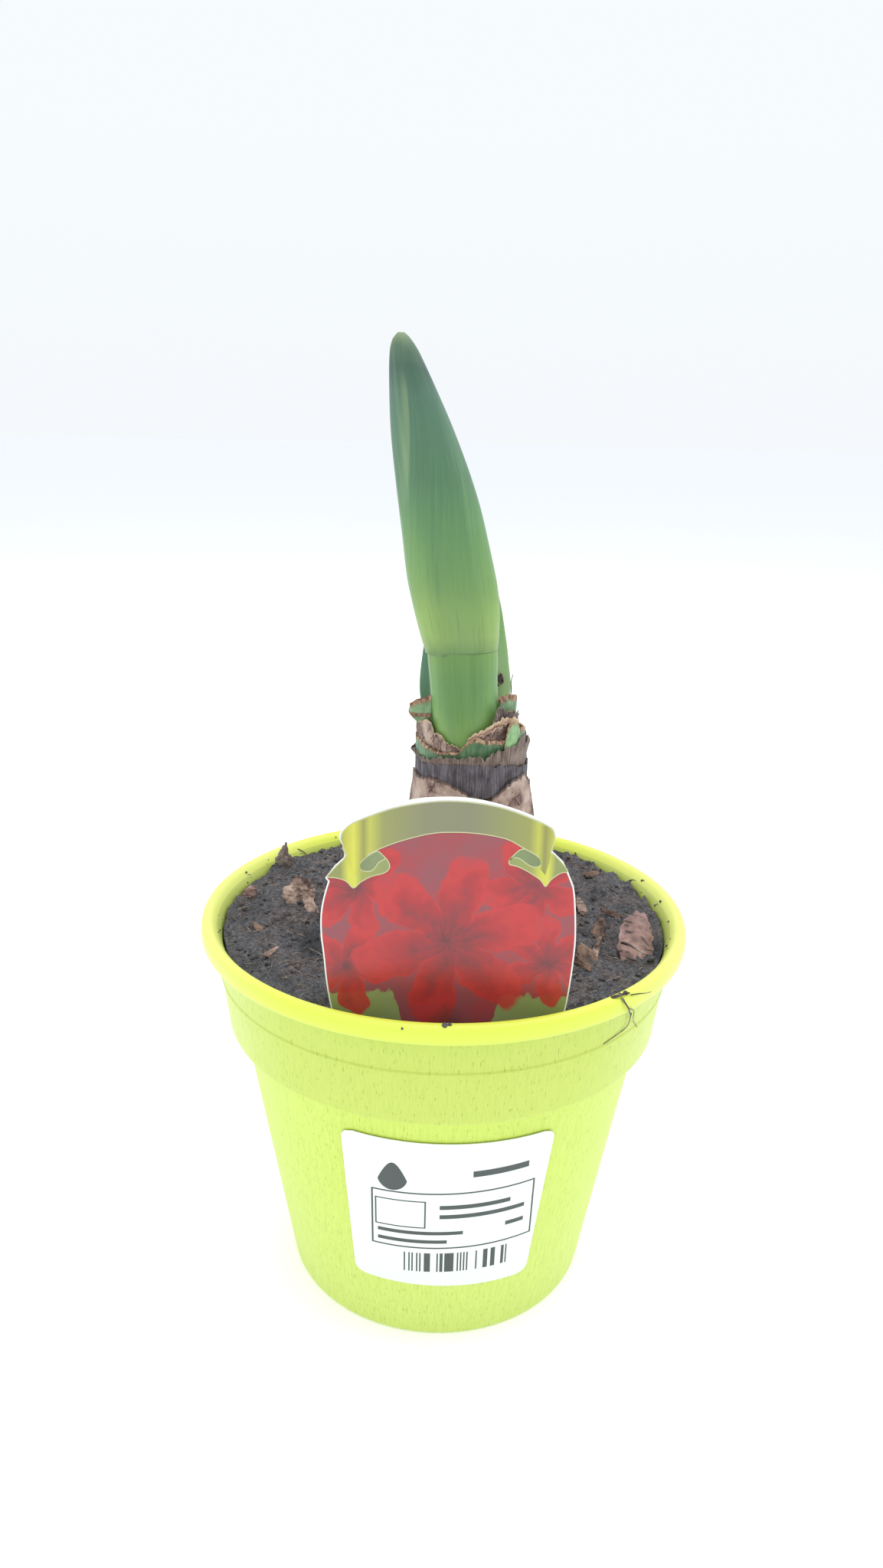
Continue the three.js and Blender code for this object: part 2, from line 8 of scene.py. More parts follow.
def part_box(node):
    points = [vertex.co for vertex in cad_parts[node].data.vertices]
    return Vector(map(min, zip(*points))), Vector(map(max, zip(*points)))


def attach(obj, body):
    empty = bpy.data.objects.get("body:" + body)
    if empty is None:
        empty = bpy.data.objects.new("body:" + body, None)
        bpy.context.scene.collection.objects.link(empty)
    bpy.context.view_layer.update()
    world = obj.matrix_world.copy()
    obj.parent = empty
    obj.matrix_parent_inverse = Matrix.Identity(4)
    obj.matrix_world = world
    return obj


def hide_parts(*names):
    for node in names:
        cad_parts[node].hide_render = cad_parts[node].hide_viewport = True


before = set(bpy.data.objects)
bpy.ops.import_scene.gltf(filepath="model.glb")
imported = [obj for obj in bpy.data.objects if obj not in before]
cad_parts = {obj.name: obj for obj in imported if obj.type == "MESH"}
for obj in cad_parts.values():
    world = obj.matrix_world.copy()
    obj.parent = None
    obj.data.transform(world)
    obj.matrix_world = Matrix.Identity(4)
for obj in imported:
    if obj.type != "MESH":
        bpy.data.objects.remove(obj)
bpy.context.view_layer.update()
bpy.ops.object.select_all(action="DESELECT")


# The studio: a pale paper floor, a bright even surround, a large softbox overhead and a weaker one
# at the front left. The camera stands a little above the plant and looks down at it.
MM = 0.001
CAMERA_PLACE = Vector((-0.0014055, -0.2788798, 0.2338030))
CAMERA_DOWN = math.radians(18.42438)
CAMERA_ROLL = math.radians(1.28722)
LENS = 25.664

scene = bpy.context.scene
scene.view_settings.view_transform = "Standard"
scene.view_settings.look = "None"


def paint(hex_code):
    """The linear colour of a colour chip written as six hexadecimal digits."""
    chip = []
    for start in (0, 2, 4):
        level = int(hex_code[start:start + 2], 16) / 255
        chip.append(level / 12.92 if level <= 0.04045 else ((level + 0.055) / 1.055) ** 2.4)
    return (chip[0], chip[1], chip[2], 1)


class Field:
    """A value that varies over a surface. Arithmetic on it adds Math nodes."""

    def __init__(self, finish, socket):
        self.finish = finish
        self.socket = socket

    def calc(self, operation, *values):
        return self.finish.node("Math", {"operation": operation}, dict(enumerate((self,) + values)))

    def __add__(self, other):
        return self.calc("ADD", other)

    __radd__ = __add__

    def __sub__(self, other):
        return self.calc("SUBTRACT", other)

    def __rsub__(self, other):
        return self * -1 + other

    def __mul__(self, other):
        return self.calc("MULTIPLY", other)

    __rmul__ = __mul__

    def __truediv__(self, other):
        return self.calc("DIVIDE", other)

    def __pow__(self, other):
        return self.calc("POWER", other)

    def __gt__(self, other):
        return self.calc("GREATER_THAN", other)

    def __lt__(self, other):
        return self.calc("LESS_THAN", other)

    def __abs__(self):
        return self.calc("ABSOLUTE")

    def step(self, low, high):
        """0 below low, 1 above high and smooth between them."""
        sockets = {0: self, 1: low, 2: high, 3: 0.0, 4: 1.0}
        return self.finish.node("MapRange", {"interpolation_type": "SMOOTHSTEP"}, sockets)


class Finish:
    """One material, built node by node."""

    def __init__(self, name, **fixed):
        self.material = bpy.data.materials.new(name)
        self.material.use_nodes = True
        self.tree = self.material.node_tree
        self.shader = self.tree.nodes["Principled BSDF"]
        for socket, value in fixed.items():
            self.shader.inputs[socket.replace("_", " ")].default_value = value

    def node(self, kind, settings=None, sockets=None, out=0):
        made = self.tree.nodes.new("ShaderNode" + kind)
        for key, value in (settings or {}).items():
            if key == "stops":
                while len(made.color_ramp.elements) < len(value):
                    made.color_ramp.elements.new(1)
                for element, (place, chip) in zip(made.color_ramp.elements, value):
                    element.position = place
                    element.color = chip
            else:
                setattr(made, key, value)
        for key, value in (sockets or {}).items():
            if isinstance(value, Field):
                self.tree.links.new(value.socket, made.inputs[key])
            else:
                made.inputs[key].default_value = value
        return Field(self, made.outputs[out])

    def point(self):
        """The Object coordinates as one vector, in millimetres."""
        metres = self.node("TexCoord", out="Object")
        return self.node("VectorMath", {"operation": "SCALE"}, {0: metres, "Scale": 1 / MM})

    def part(self, vector, axes):
        """One field for each of a vector's named axes."""
        return [self.node("SeparateXYZ", None, {0: vector}, axis) for axis in axes]

    def place(self, axes="XYZ"):
        """The Object coordinates as fields, in millimetres."""
        return self.part(self.point(), axes)

    def sheet(self):
        """The piece's own UV map as two fields."""
        return self.part(self.node("TexCoord", out="UV"), "XY")

    def join(self, x, y, z=0.0):
        return self.node("CombineXYZ", None, {"X": x, "Y": y, "Z": z})

    def grain(self, vector, size, detail=2.0, rough=0.5, twist=0.0):
        """Soft noise from 0 to 1, size being that of a lump in the units of the vector."""
        sockets = {"Vector": vector, "Scale": 1 / size, "Detail": detail, "Roughness": rough,
                   "Distortion": twist}
        return self.node("TexNoise", None, sockets)

    def cells(self, vector, size, feature="F1", out="Distance"):
        return self.node("TexVoronoi", {"feature": feature}, {"Vector": vector, "Scale": 1 / size}, out)

    def mix(self, factor, first, second):
        """Blends two colours, each a field, a chip or a linear colour."""
        first, second = [paint(side) if isinstance(side, str) else side for side in (first, second)]
        return self.node("Mix", {"data_type": "RGBA"}, {0: factor, 6: first, 7: second}, out=2)

    def ramp(self, value, *stops):
        """Colours laid along a value, each a (place, chip or linear colour) stop."""
        stops = [(place, paint(chip) if isinstance(chip, str) else chip) for place, chip in stops]
        return self.node("ValToRGB", {"stops": stops}, {0: value})

    def bump(self, height, depth):
        """Relief, depth being in millimetres for a height of 1."""
        sockets = {"Height": height, "Distance": depth * MM, "Strength": 1.0}
        self.feed("Normal", self.node("Bump", None, sockets))

    def feed(self, socket, value):
        self.tree.links.new(value.socket, self.shader.inputs[socket])


class Surround(Finish):
    """The world's light, built node by node in the same way."""

    def __init__(self, name):
        self.world = bpy.data.worlds.new(name)
        self.world.use_nodes = True
        self.tree = self.world.node_tree
        self.shader = self.tree.nodes["Background"]


floor_finish = Finish("white paper floor", Roughness=0.9, Emission_Color=(1, 1, 1, 1), Emission_Strength=0.22)
floor_x, floor_y = floor_finish.place("XY")
floor_grain = floor_finish.grain(floor_finish.join(floor_x, floor_y), 0.8)
far_off = (floor_x * floor_x + floor_y * floor_y).calc("SQRT").step(350, 1700)
near_white = floor_finish.mix(floor_grain, "f6fafb", "fafcfc")
floor_finish.feed("Base Color", floor_finish.mix(far_off, near_white, (0.735, 0.747, 0.772, 1)))
floor_finish.feed("Emission Color", floor_finish.mix(far_off, (1, 1, 1, 1), (0.77, 0.777, 0.798, 1)))
bpy.ops.mesh.primitive_circle_add(vertices=128, radius=9, fill_type="NGON", location=(0, 0, -0.05 * MM))
floor = bpy.context.object
floor.name = "floor"
floor.data.materials.append(floor_finish.material)

# The surround is a faint blue white, a little lighter overhead and dimmer behind the camera.
SKY_LEVELS = [(0.02, 0.36), (0.3, 0.86), (0.6, 1.0), (0.82, 0.86), (0.9, 0.8)]
SKY_BRIGHTNESS = 1.25

surround = Surround("surround")
ahead, upward = surround.part(surround.node("TexCoord", out="Generated"), "YZ")
sky_tint = surround.ramp(upward, (0.0, (0.915, 0.945, 0.975, 1)), (0.2, (0.925, 0.965, 0.99, 1)))
sky_level = surround.ramp(ahead * 0.5 + 0.5, *[(place, (level,) * 3 + (1,)) for place, level in SKY_LEVELS])
surround.feed("Color", sky_tint)
surround.feed("Strength", sky_level * SKY_BRIGHTNESS)
scene.world = surround.world


def softbox(name, place, side, watts):
    bpy.ops.object.light_add(type="AREA", location=place)
    lamp = bpy.context.object
    lamp.name = name
    lamp.data.shape = "SQUARE"
    lamp.data.size = side
    lamp.data.energy = watts
    lamp.rotation_euler = (Vector((0, 0, 0.1)) - Vector(place)).to_track_quat("-Z", "Y").to_euler()


softbox("softbox_above", (0.2, 0.1, 1.5), 1.4, 11)
softbox("softbox_front", (-0.5, -1.2, 1.1), 0.9, 3)

camera_data = bpy.data.cameras.new("camera")
camera_data.lens = LENS
camera_data.sensor_width = 36
camera_data.clip_start = 0.01
camera = bpy.data.objects.new("camera", camera_data)
scene.collection.objects.link(camera)
level_up = Vector((0, math.sin(CAMERA_DOWN), math.cos(CAMERA_DOWN)))
camera_right = math.cos(CAMERA_ROLL) * Vector((1, 0, 0)) + math.sin(CAMERA_ROLL) * level_up
camera_up = math.cos(CAMERA_ROLL) * level_up - math.sin(CAMERA_ROLL) * Vector((1, 0, 0))
camera_back = Vector((0, -math.cos(CAMERA_DOWN), math.sin(CAMERA_DOWN)))
turned = Matrix((camera_right, camera_up, camera_back)).transposed().to_4x4()
camera.matrix_world = Matrix.Translation(CAMERA_PLACE) @ turned
scene.camera = camera


# The pot: one thin wall of lime green plastic, moulded in one shot with a rolled rim, a tall collar
# over a step, a tapered body, a foot ring and a floor with eight drain holes. Its outside is brushed.
POT_RIM = [(61.14, 101.6), (63.9, 101.6), (64.35, 101.75), (64.7, 102.15), (64.92, 102.8), (65, 103.6),
           (64.92, 104.6), (64.72, 105.4), (64.4, 105.95), (63.9, 106.35), (63.2, 106.55),
           (62.55, 106.42), (61.9, 105.95), (61.2, 105.1), (60.65, 104.2), (60.2, 103.2), (59.85, 102.4)]
POT_OUTLINE = [(0, 2), (35.8, 2), (36.5, 0), (41.1, 0), (41.8, 0.35), (42.25, 1.3), (54.45, 74.2),
               (54.75, 74.95), (57.8, 76.7), (58.25, 77.1), (58.45, 77.7), (60.03, 91.0), (60.33, 91.35),
               (60.33, 91.75), (60.14, 92.1), *POT_RIM, (59.64, 101.6), (56.88, 77.6), (53.18, 75.2),
               (41.12, 3.5), (40.78, 1.5), (37.5, 1.5), (36.5, 3.5), (0, 3.5)]
POT_STEPS = 168
DRAIN_HOLES = 8
DRAIN_RADIUS = 3.5
DRAIN_CIRCLE = 27


def deselect():
    bpy.ops.object.select_all(action="DESELECT")


def activate(piece):
    deselect()
    piece.select_set(True)
    bpy.context.view_layer.objects.active = piece


def edit(piece):
    """Opens a piece for editing, with all of it selected."""
    activate(piece)
    bpy.ops.object.mode_set(mode="EDIT")
    bpy.ops.mesh.select_all(action="SELECT")


def seal(piece):
    """Merges the corners that meet and turns every face outwards."""
    edit(piece)
    bpy.ops.mesh.remove_doubles(threshold=0.000004)
    bpy.ops.mesh.normals_make_consistent(inside=False)
    bpy.ops.object.mode_set(mode="OBJECT")


def fresh_piece(name):
    """The piece that was just made, under its name."""
    piece = bpy.context.object
    piece.name = name
    piece.data.name = name
    return piece


def turn_on_lathe(name, outline, steps):
    """Draws an outline of (radius, height) points corner by corner and spins it about the upright axis."""
    deselect()
    bpy.ops.mesh.primitive_plane_add(size=0.01)
    piece = fresh_piece(name)
    edit(piece)
    bpy.ops.mesh.merge(type="CENTER")
    bpy.ops.mesh.select_all(action="SELECT")
    bpy.ops.transform.translate(value=(outline[0][0] * MM, 0, outline[0][1] * MM))
    for (r_before, z_before), (r, z) in zip(outline, outline[1:]):
        move = {"value": ((r - r_before) * MM, 0, (z - z_before) * MM)}
        bpy.ops.mesh.extrude_region_move(TRANSFORM_OT_translate=move)
    bpy.ops.mesh.select_all(action="SELECT")
    bpy.ops.mesh.spin(steps=steps, angle=math.tau, center=(0, 0, 0), axis=(0, 0, 1))
    bpy.ops.object.mode_set(mode="OBJECT")
    seal(piece)
    return piece


def settle(piece, finish, slot, *nodes, angle=40):
    """Gives a finished piece its material, its smoothing and its place on the frame."""
    activate(piece)
    bpy.ops.object.shade_smooth_by_angle(angle=math.radians(angle))
    piece.data.materials.clear()
    piece.data.materials.append(finish.material)
    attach(piece, "root")
    if nodes:
        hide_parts(*nodes)


def cut_away(piece, cutter):
    activate(piece)
    cut = piece.modifiers.new("cut", "BOOLEAN")
    cut.operation = "DIFFERENCE"
    cut.object = cutter
    bpy.ops.object.modifier_apply(modifier=cut.name)
    bpy.data.objects.remove(cutter)


pot = turn_on_lathe("moulded_pot", POT_OUTLINE, POT_STEPS)
for hole in range(DRAIN_HOLES):
    turn = math.tau * (hole + 0.5) / DRAIN_HOLES
    spot = (DRAIN_CIRCLE * MM * math.cos(turn), DRAIN_CIRCLE * MM * math.sin(turn), 2.5 * MM)
    deselect()
    bpy.ops.mesh.primitive_cylinder_add(vertices=32, radius=DRAIN_RADIUS * MM, depth=6 * MM, location=spot)
    cut_away(pot, bpy.context.object)

plastic = Finish("lime pot plastic", Roughness=0.46, IOR=1.49)
pot_x, pot_y, pot_z = plastic.place()
pot_r = (pot_x * pot_x + pot_y * pot_y).calc("SQRT")
pot_turn = pot_x.calc("ARCTAN2", pot_y * -1)
wall = plastic.join(pot_turn * 55, pot_z * 0.075, pot_r * 0.2)
brush = plastic.grain(wall, 0.42, detail=3, rough=0.62)
coarse_brush = plastic.grain(wall, 1.5, detail=2)
scores = plastic.grain(plastic.join(pot_turn * 55, pot_z * 0.13), 0.32, detail=1).step(0.66, 0.74)
outside = (pot_r - pot_z * 0.168).step(40.4, 41.2) * (pot_z < 101.4)
cloud = plastic.grain(plastic.point(), 22, detail=3)
lime = plastic.mix(cloud, "cbde60", "d3e568")
# Painted light: the lower body is painted paler towards the foot, in place of light falling there.
lime = plastic.mix(pot_z.step(60, 5), lime, "d3e374")
lime = plastic.mix(pot_z.step(74, 77.5), lime, "c8d762")
# Painted highlight: above z 74 the pot's left and right flanks are painted paler, like glare on its sides.
flanks = abs(pot_x).step(34, 62)
lime = plastic.mix(flanks * (pot_z > 74) * 0.3, lime, "e8f0a8")
# Painted shade: the inner wall, down in the pot below the rim, is painted darker than the outside.
inside = (pot_r - pot_z * 0.115 < 48.8) * (pot_z > 77)
lime = plastic.mix(inside * pot_z.step(106, 102.5), lime, "a5b759")
# Painted highlight: the rim is also painted paler towards its left and right flanks.
rim_lime = plastic.mix(flanks, "dee955", "e1ea78")
lime = plastic.mix(pot_z.step(101, 103.5) * (1 - inside * 0.6), lime, rim_lime)
lime = plastic.mix(outside * brush.step(0.4, 0.75) * 0.4, lime, "b3c94a")
lime = plastic.mix(outside * scores * 0.6, lime, "9db33f")
plastic.feed("Base Color", lime)
plastic.feed("Roughness", 0.4 + brush * 0.14 * outside + cloud * 0.08)
plastic.bump(outside * (brush * 0.6 + coarse_brush * 0.4 - scores * 0.6), 0.12)
settle(pot, plastic, "pot_plastic", "pot", angle=32)


# The soil: loose dark peat, tipped in and pressed down lightly, so its top is all crumbs, fibres and
# small hollows. It fills the pot round the bulb, and is pressed lower in front of the label.
SOIL_LEVEL = 101.8
SOIL_AROUND = 400
SOIL_ACROSS = 140
SOIL_FOOT = 4
PIT_RIM = 103
BULB_PROFILE = [(33.6, 0), (34, 9), (35, 14), (40, 19.5), (47, 27.5), (55, 33), (65, 36.6), (76, 37.4),
                (88, 35.6), (98, 32.6), (106, 29.6), (113, 26.6), (120, 22.4), (126, 18.3), (132, 15.2),
                (137, 13.5), (142, 12.5), (150, 12)]
NECK_X = 6.3


def smooth(value):
    value = max(0.0, min(1.0, value))
    return value * value * (3 - 2 * value)


def along(table, place):
    """Reads a table of (place, value) rows, straight between them."""
    if place <= table[0][0]:
        return table[0][1]
    for (p, a), (q, b) in zip(table, table[1:]):
        if place <= q:
            return a + (b - a) * (place - p) / (q - p)
    return table[-1][1]


def bulb_radius(z):
    return along(BULB_PROFILE, z)


def bulb_x(z):
    return 2.5 + 3.8 * smooth((z - 60) / 75)


def pot_inside(z):
    if z < 75.2:
        return 41.12 + (53.18 - 41.12) * (z - 3.5) / 71.7
    if z < 77.6:
        return 53.18 + 3.7 * (z - 75.2) / 2.4
    return 56.88 + 2.76 * (z - 77.6) / 24


def lumps(x, y, z, size):
    return noise.noise(Vector((x / size, y / size, z / size)))


def bend_grid(name, across, up, place):
    """A grid of across by up squares, its corners carried to place(u, w) in millimetres, u and w 0 to 1."""
    deselect()
    bpy.ops.mesh.primitive_grid_add(x_subdivisions=across, y_subdivisions=up, size=1, calc_uvs=True)
    piece = fresh_piece(name)
    for corner in piece.data.vertices:
        corner.co = Vector(place(corner.co.x + 0.5, corner.co.y + 0.5)) * MM
    return piece


def soil_height(x, y):
    from_bulb = math.hypot(x - 4.8, y)
    height = SOIL_LEVEL + 0.8 * smooth((44 - from_bulb) / 14) + 1.3 * smooth((y - 5) / 30)
    height -= 3.4 * smooth((-43.4 - y) / 2.5) * smooth((37 - abs(x - 1)) / 5)
    height -= 0.5 * smooth((-y - 30) / 20)
    height -= 2.0 * math.exp(-((x + 33.5) / 4) ** 2 - ((y + 13) / 10) ** 2)
    height -= 1.8 * math.exp(-((x - 55.8) / 2) ** 2 - ((y + 15) / 6) ** 2)
    climb = smooth((math.hypot(x, y) - 54.5) / 4.5) * smooth((y + 25) / 30)
    height += climb * max(0, 2.2 * lumps(x, y, 6.3, 7) + 1.6 * lumps(x, y, 2.2, 2.6) + 0.5)
    height += 1.1 * lumps(x, y, 3.1, 13) + 1.0 * lumps(x, y, 8.7, 5.5)
    height += 0.95 * lumps(x, y, 1.9, 2.3) + 0.6 * lumps(x, y, 5.5, 1.1)
    return height


def soil_place(u, w):
    """One closed surface: the bulb's pit and its wall, the open top, the side against the pot, the foot."""
    turn = math.tau * u
    centre = 0
    if w < 0.16:
        share = w / 0.16
        z = 31 + 4 * share
        radius = (bulb_radius(35) + 1) * share
        centre = bulb_x(z)
    elif w < 0.32:
        z = 35 + 64.5 * (w - 0.16) / 0.16
        radius = bulb_radius(z) + 0.5
        centre = bulb_x(z)
    elif w <= 0.86:
        share = (w - 0.32) / 0.54
        inner = bulb_radius(PIT_RIM) + 0.2
        outer = pot_inside(SOIL_LEVEL) - 0.35
        radius = inner + (outer - inner) * share
        centre = bulb_x(PIT_RIM) * (1 - share)
        z = soil_height(centre + radius * math.sin(turn), -radius * math.cos(turn))
    elif w < 0.96:
        z = 99 + (SOIL_FOOT - 99) * (w - 0.86) / 0.1
        radius = pot_inside(z) - 0.35
    else:
        z = SOIL_FOOT
        radius = (pot_inside(z) - 0.35) * (1 - (w - 0.96) / 0.04)
    return (centre + radius * math.sin(turn), -radius * math.cos(turn), z)


soil = bend_grid("peat_bed", SOIL_AROUND, SOIL_ACROSS, soil_place)
seal(soil)

peat = Finish("dark peat", Roughness=0.95)
peat_x, peat_y, peat_z = peat.place()
peat_point = peat.point()
tufts = peat.grain(peat_point, 5.0, detail=4, rough=0.6)
crumb = peat.grain(peat_point, 0.85, detail=5, rough=0.72, twist=0.5)
grit = peat.cells(peat_point, 0.55)
strands = peat.grain(peat.join(peat_x * 0.3, peat_y, peat_z), 0.3, detail=3, rough=0.65, twist=1.3)
cross_strands = peat.grain(peat.join(peat_x, peat_y * 0.32, peat_z), 0.28, detail=3, rough=0.65, twist=1.5)
peat_colour = peat.ramp(crumb, (0.3, "2d2d31"), (0.45, "4b4b50"), (0.58, "6b6a6e"), (0.74, "929093"))
brown_peat = peat.ramp(crumb, (0.3, "38312f"), (0.45, "5a504d"), (0.58, "7a6e69"), (0.74, "9c8e84"))
peat_colour = peat.mix(tufts.step(0.44, 0.64) * 0.7, peat_colour, brown_peat)
dark_patches = peat.grain(peat_point, 8.0, detail=3).step(0.48, 0.36)
peat_colour = peat.mix(dark_patches * 0.4, peat_colour, "32353b")
peat_colour = peat.mix(strands.step(0.58, 0.66) * 0.5, peat_colour, "9a8f87")
peat_colour = peat.mix(cross_strands.step(0.6, 0.68) * 0.5, peat_colour, "857a73")
peat_colour = peat.mix((grit < 0.11) * 0.5, peat_colour, "aca195")
# Painted shade: the peat is painted near black in the two hollows of its top, where shade falls.
hollow_shade_left = ((peat_x + 33.5) * 0.2) ** 2.0 + ((peat_y + 13) * 0.09) ** 2.0
hollow_shade_right = ((peat_x - 56) * 0.35) ** 2.0 + ((peat_y + 15) * 0.16) ** 2.0
hollow_shade = hollow_shade_left.step(1.3, 0.3).calc("MAXIMUM", hollow_shade_right.step(1.3, 0.3))
peat_colour = peat.mix(hollow_shade * 0.62, peat_colour, "23272b")
peat.feed("Base Color", peat_colour)
peat.bump(crumb * 0.55 + strands * 0.3 + cross_strands * 0.3 + grit * 0.3, 0.8)
settle(soil, peat, "soil", "soil", angle=60)


def scatter(name, master, spots):
    """Copies a master piece to each (x, y, z, turn, tilt, size) spot and joins the copies."""
    copies = []
    for x, y, z, turn, tilt, size in spots:
        copy = master.copy()
        copy.data = master.data.copy()
        scene.collection.objects.link(copy)
        pose = Matrix.Translation(Vector((x, y, z)) * MM)
        pose = pose @ Matrix.Rotation(turn, 4, "Z") @ Matrix.Rotation(tilt, 4, "X") @ Matrix.Scale(size, 4)
        copy.data.transform(pose)
        copies.append(copy)
    deselect()
    for copy in copies:
        copy.select_set(True)
    bpy.context.view_layer.objects.active = copies[0]
    bpy.ops.object.join()
    bpy.data.objects.remove(master)
    return fresh_piece(name)


def on_soil(dice, keep_off=1.5):
    """A seeded spot on the open soil, between the bulb and the wall."""
    while True:
        turn = dice.uniform(0, math.tau)
        radius = 60 * math.sqrt(dice.uniform(0.2, 1))
        x = radius * math.sin(turn)
        y = -radius * math.cos(turn)
        if radius < pot_inside(SOIL_LEVEL) - keep_off and math.hypot(x - bulb_x(PIT_RIM), y) > 31:
            if y > -49 or abs(x) > 33:
                return x, y


dice = random.Random(11)
for kind in range(4):
    deselect()
    bpy.ops.mesh.primitive_ico_sphere_add(subdivisions=1, radius=1 * MM)
    crumb_master = bpy.context.object
    for corner in crumb_master.data.vertices:
        spread = dice.uniform(0.65, 1.25)
        corner.co = Vector((corner.co.x * spread, corner.co.y * spread * 0.8, corner.co.z * spread * 0.6))
    crumb_spots = []
    for count in range(170):
        x, y = on_soil(dice)
        size = 0.3 + 0.95 * dice.random() ** 3
        height = soil_height(x, y) + size * 0.3
        crumb_spots.append((x, y, height, dice.uniform(0, 6.3), dice.uniform(-0.6, 0.6), size))
    crumbs = scatter(f"peat_crumbs_{kind + 1}", crumb_master, crumb_spots)
    settle(crumbs, peat, "soil", angle=20)

fibre = Finish("peat fibre", Roughness=0.85)
fibre_point = fibre.point()
fibre_tone = fibre.grain(fibre_point, 3.0, detail=3)
fibre.feed("Base Color", fibre.ramp(fibre_tone, (0.35, "2a2424"), (0.5, "6a5c55"), (0.68, "a39488")))
fibre.bump(fibre.grain(fibre_point, 0.3), 0.1)


def strand(name, length, thick, bend, hump, dice):
    """A thin root or moss fibre of seven rings of five corners, lying bent along X."""
    phase = dice.uniform(0, 6.3)

    def place(u, w):
        reach = (w - 0.5) * length
        slim = thick * (1 - 0.75 * abs(2 * w - 1) ** 2)
        if w in (0, 1):
            slim = 0
        side = bend * math.sin(3.1 * w + phase)
        rise = hump * math.sin(math.pi * w) + 0.15 * length * 0.1 * math.sin(7 * w + phase)
        turn = -math.tau * u
        return (reach, side + slim * math.cos(turn), rise + slim * math.sin(turn))

    piece = bend_grid(name, 5, 8, place)
    seal(piece)
    return piece


for kind in range(5):
    length = (1.8, 2.6, 3.4, 4.6, 7)[kind]
    fibre_master = strand("fibre", length, 0.09 + 0.02 * kind, 0.25 * kind, 0.2 + 0.12 * kind, dice)
    fibre_spots = []
    for count in range((170, 150, 120, 70, 24)[kind]):
        x, y = on_soil(dice, keep_off=length / 2 + 0.5)
        height = soil_height(x, y) + 0.3
        fibre_spots.append((x, y, height, dice.uniform(0, 6.3), dice.uniform(-0.35, 0.35), 1))
    fibres = scatter(f"peat_fibres_{kind + 1}", fibre_master, fibre_spots)
    settle(fibres, fibre, "soil", angle=60)


# The bulb: a fleshy body on a flat basal plate, drawn up into a neck, all one living thing. Only its
# shoulder and neck stand above the soil, wrapped in the dead outer skins that follow.
BULB_RINGS = 72

bulb = turn_on_lathe("bulb_body", [(r, z) for z, r in BULB_PROFILE] + [(0, 150.6)], BULB_RINGS)
for corner in bulb.data.vertices:
    corner.co.x += bulb_x(corner.co.z / MM) * MM
bulb_finish = Finish("bulb flesh and skin", Roughness=0.6)
bulb_u, bulb_v, bulb_w = bulb_finish.place()
bulb_turn = (bulb_u - NECK_X).calc("ARCTAN2", bulb_v * -1)
bulb_veins = bulb_finish.grain(bulb_finish.join(bulb_turn * 20, bulb_w * 0.06), 0.8, detail=3)
bulb_colour = bulb_finish.ramp(bulb_veins, (0.35, "4a3326"), (0.55, "7b5a41"), (0.7, "9b7a5c"))
bulb_colour = bulb_finish.mix(bulb_w.step(146, 149), bulb_colour, "6e5a44")
bulb_finish.feed("Base Color", bulb_colour)
bulb_finish.bump(bulb_veins, 0.35)
settle(bulb, bulb_finish, "bulb_skin", "bulb")


# The papery skins: the dead outer coats of the bulb, thin, tan and veined, split lengthwise and torn
# at the neck. Each is one sheet wrapped round the shoulder, and the upper ones lap over the lower.
PAPER_THICK = 0.35
LEFT_FLAP_RIM = [(-105, 141), (-88, 145.4), (-67, 145.4), (-44, 146.3), (-22, 145.6), (-5, 143.2), (8, 139)]
RIGHT_FLAP_RIM = [(8, 139), (23, 142.6), (35, 144.6), (46, 145.6), (63, 146), (80, 143), (100, 141.5),
                  (120, 139)]
ALL_ROUND = (-180, 180)


def crinkle(turn, around, z, size):
    """How far a crumpled sheet strays, from -1 to 1, around being the radius that it is drawn at."""
    return lumps(math.sin(turn) * around, math.cos(turn) * around, z, size)


def ragged(turn, seed, coarse, fine):
    """The height by which a torn edge strays, from broad bites and thin slivers."""
    broad = crinkle(turn, 14, seed, 7.0) * coarse
    return broad + crinkle(turn, 14, seed + 5, 0.9) * fine + abs(crinkle(turn, 14, seed + 9, 2.2)) * fine


def torn_rim(table, seed, coarse, fine):
    """A torn edge that follows a table of (degrees round the neck, height)."""
    return lambda turn: along(table, math.degrees(turn)) + ragged(turn, seed, coarse, fine)


def thicken(piece, thick, offset=0.0):
    activate(piece)
    wall = piece.modifiers.new("wall", "SOLIDIFY")
    wall.thickness = thick * MM
    wall.offset = offset
    wall.use_even_offset = False
    bpy.ops.object.modifier_apply(modifier=wall.name)


def wrap(name, finish, slot, grid, span, foot, rim, radius, thick, centre=None, nodes=()):
    """A torn sheet round the neck over a span of degrees, from a foot to a rim, settled in its place."""
    start, end = span

    def place(u, w):
        turn = math.radians(start + (end - start) * u)
        low = foot(turn) if callable(foot) else foot
        z = low + (rim(turn) - low) * w
        reach = radius(turn, z, w)
        return ((centre(z) if centre else NECK_X) + reach * math.sin(turn), -reach * math.cos(turn), z)

    piece = bend_grid(name, grid[0], grid[1], place)
    if span == ALL_ROUND:
        edit(piece)
        bpy.ops.mesh.remove_doubles(threshold=0.000002)
        bpy.ops.object.mode_set(mode="OBJECT")
    thicken(piece, thick)
    settle(piece, finish, slot, *nodes, angle=60)


def round_neck(made):
    """The height in millimetres and the angle round the neck, as fields."""
    x, y, z = made.place()
    return z, (x - NECK_X).calc("ARCTAN2", y * -1)


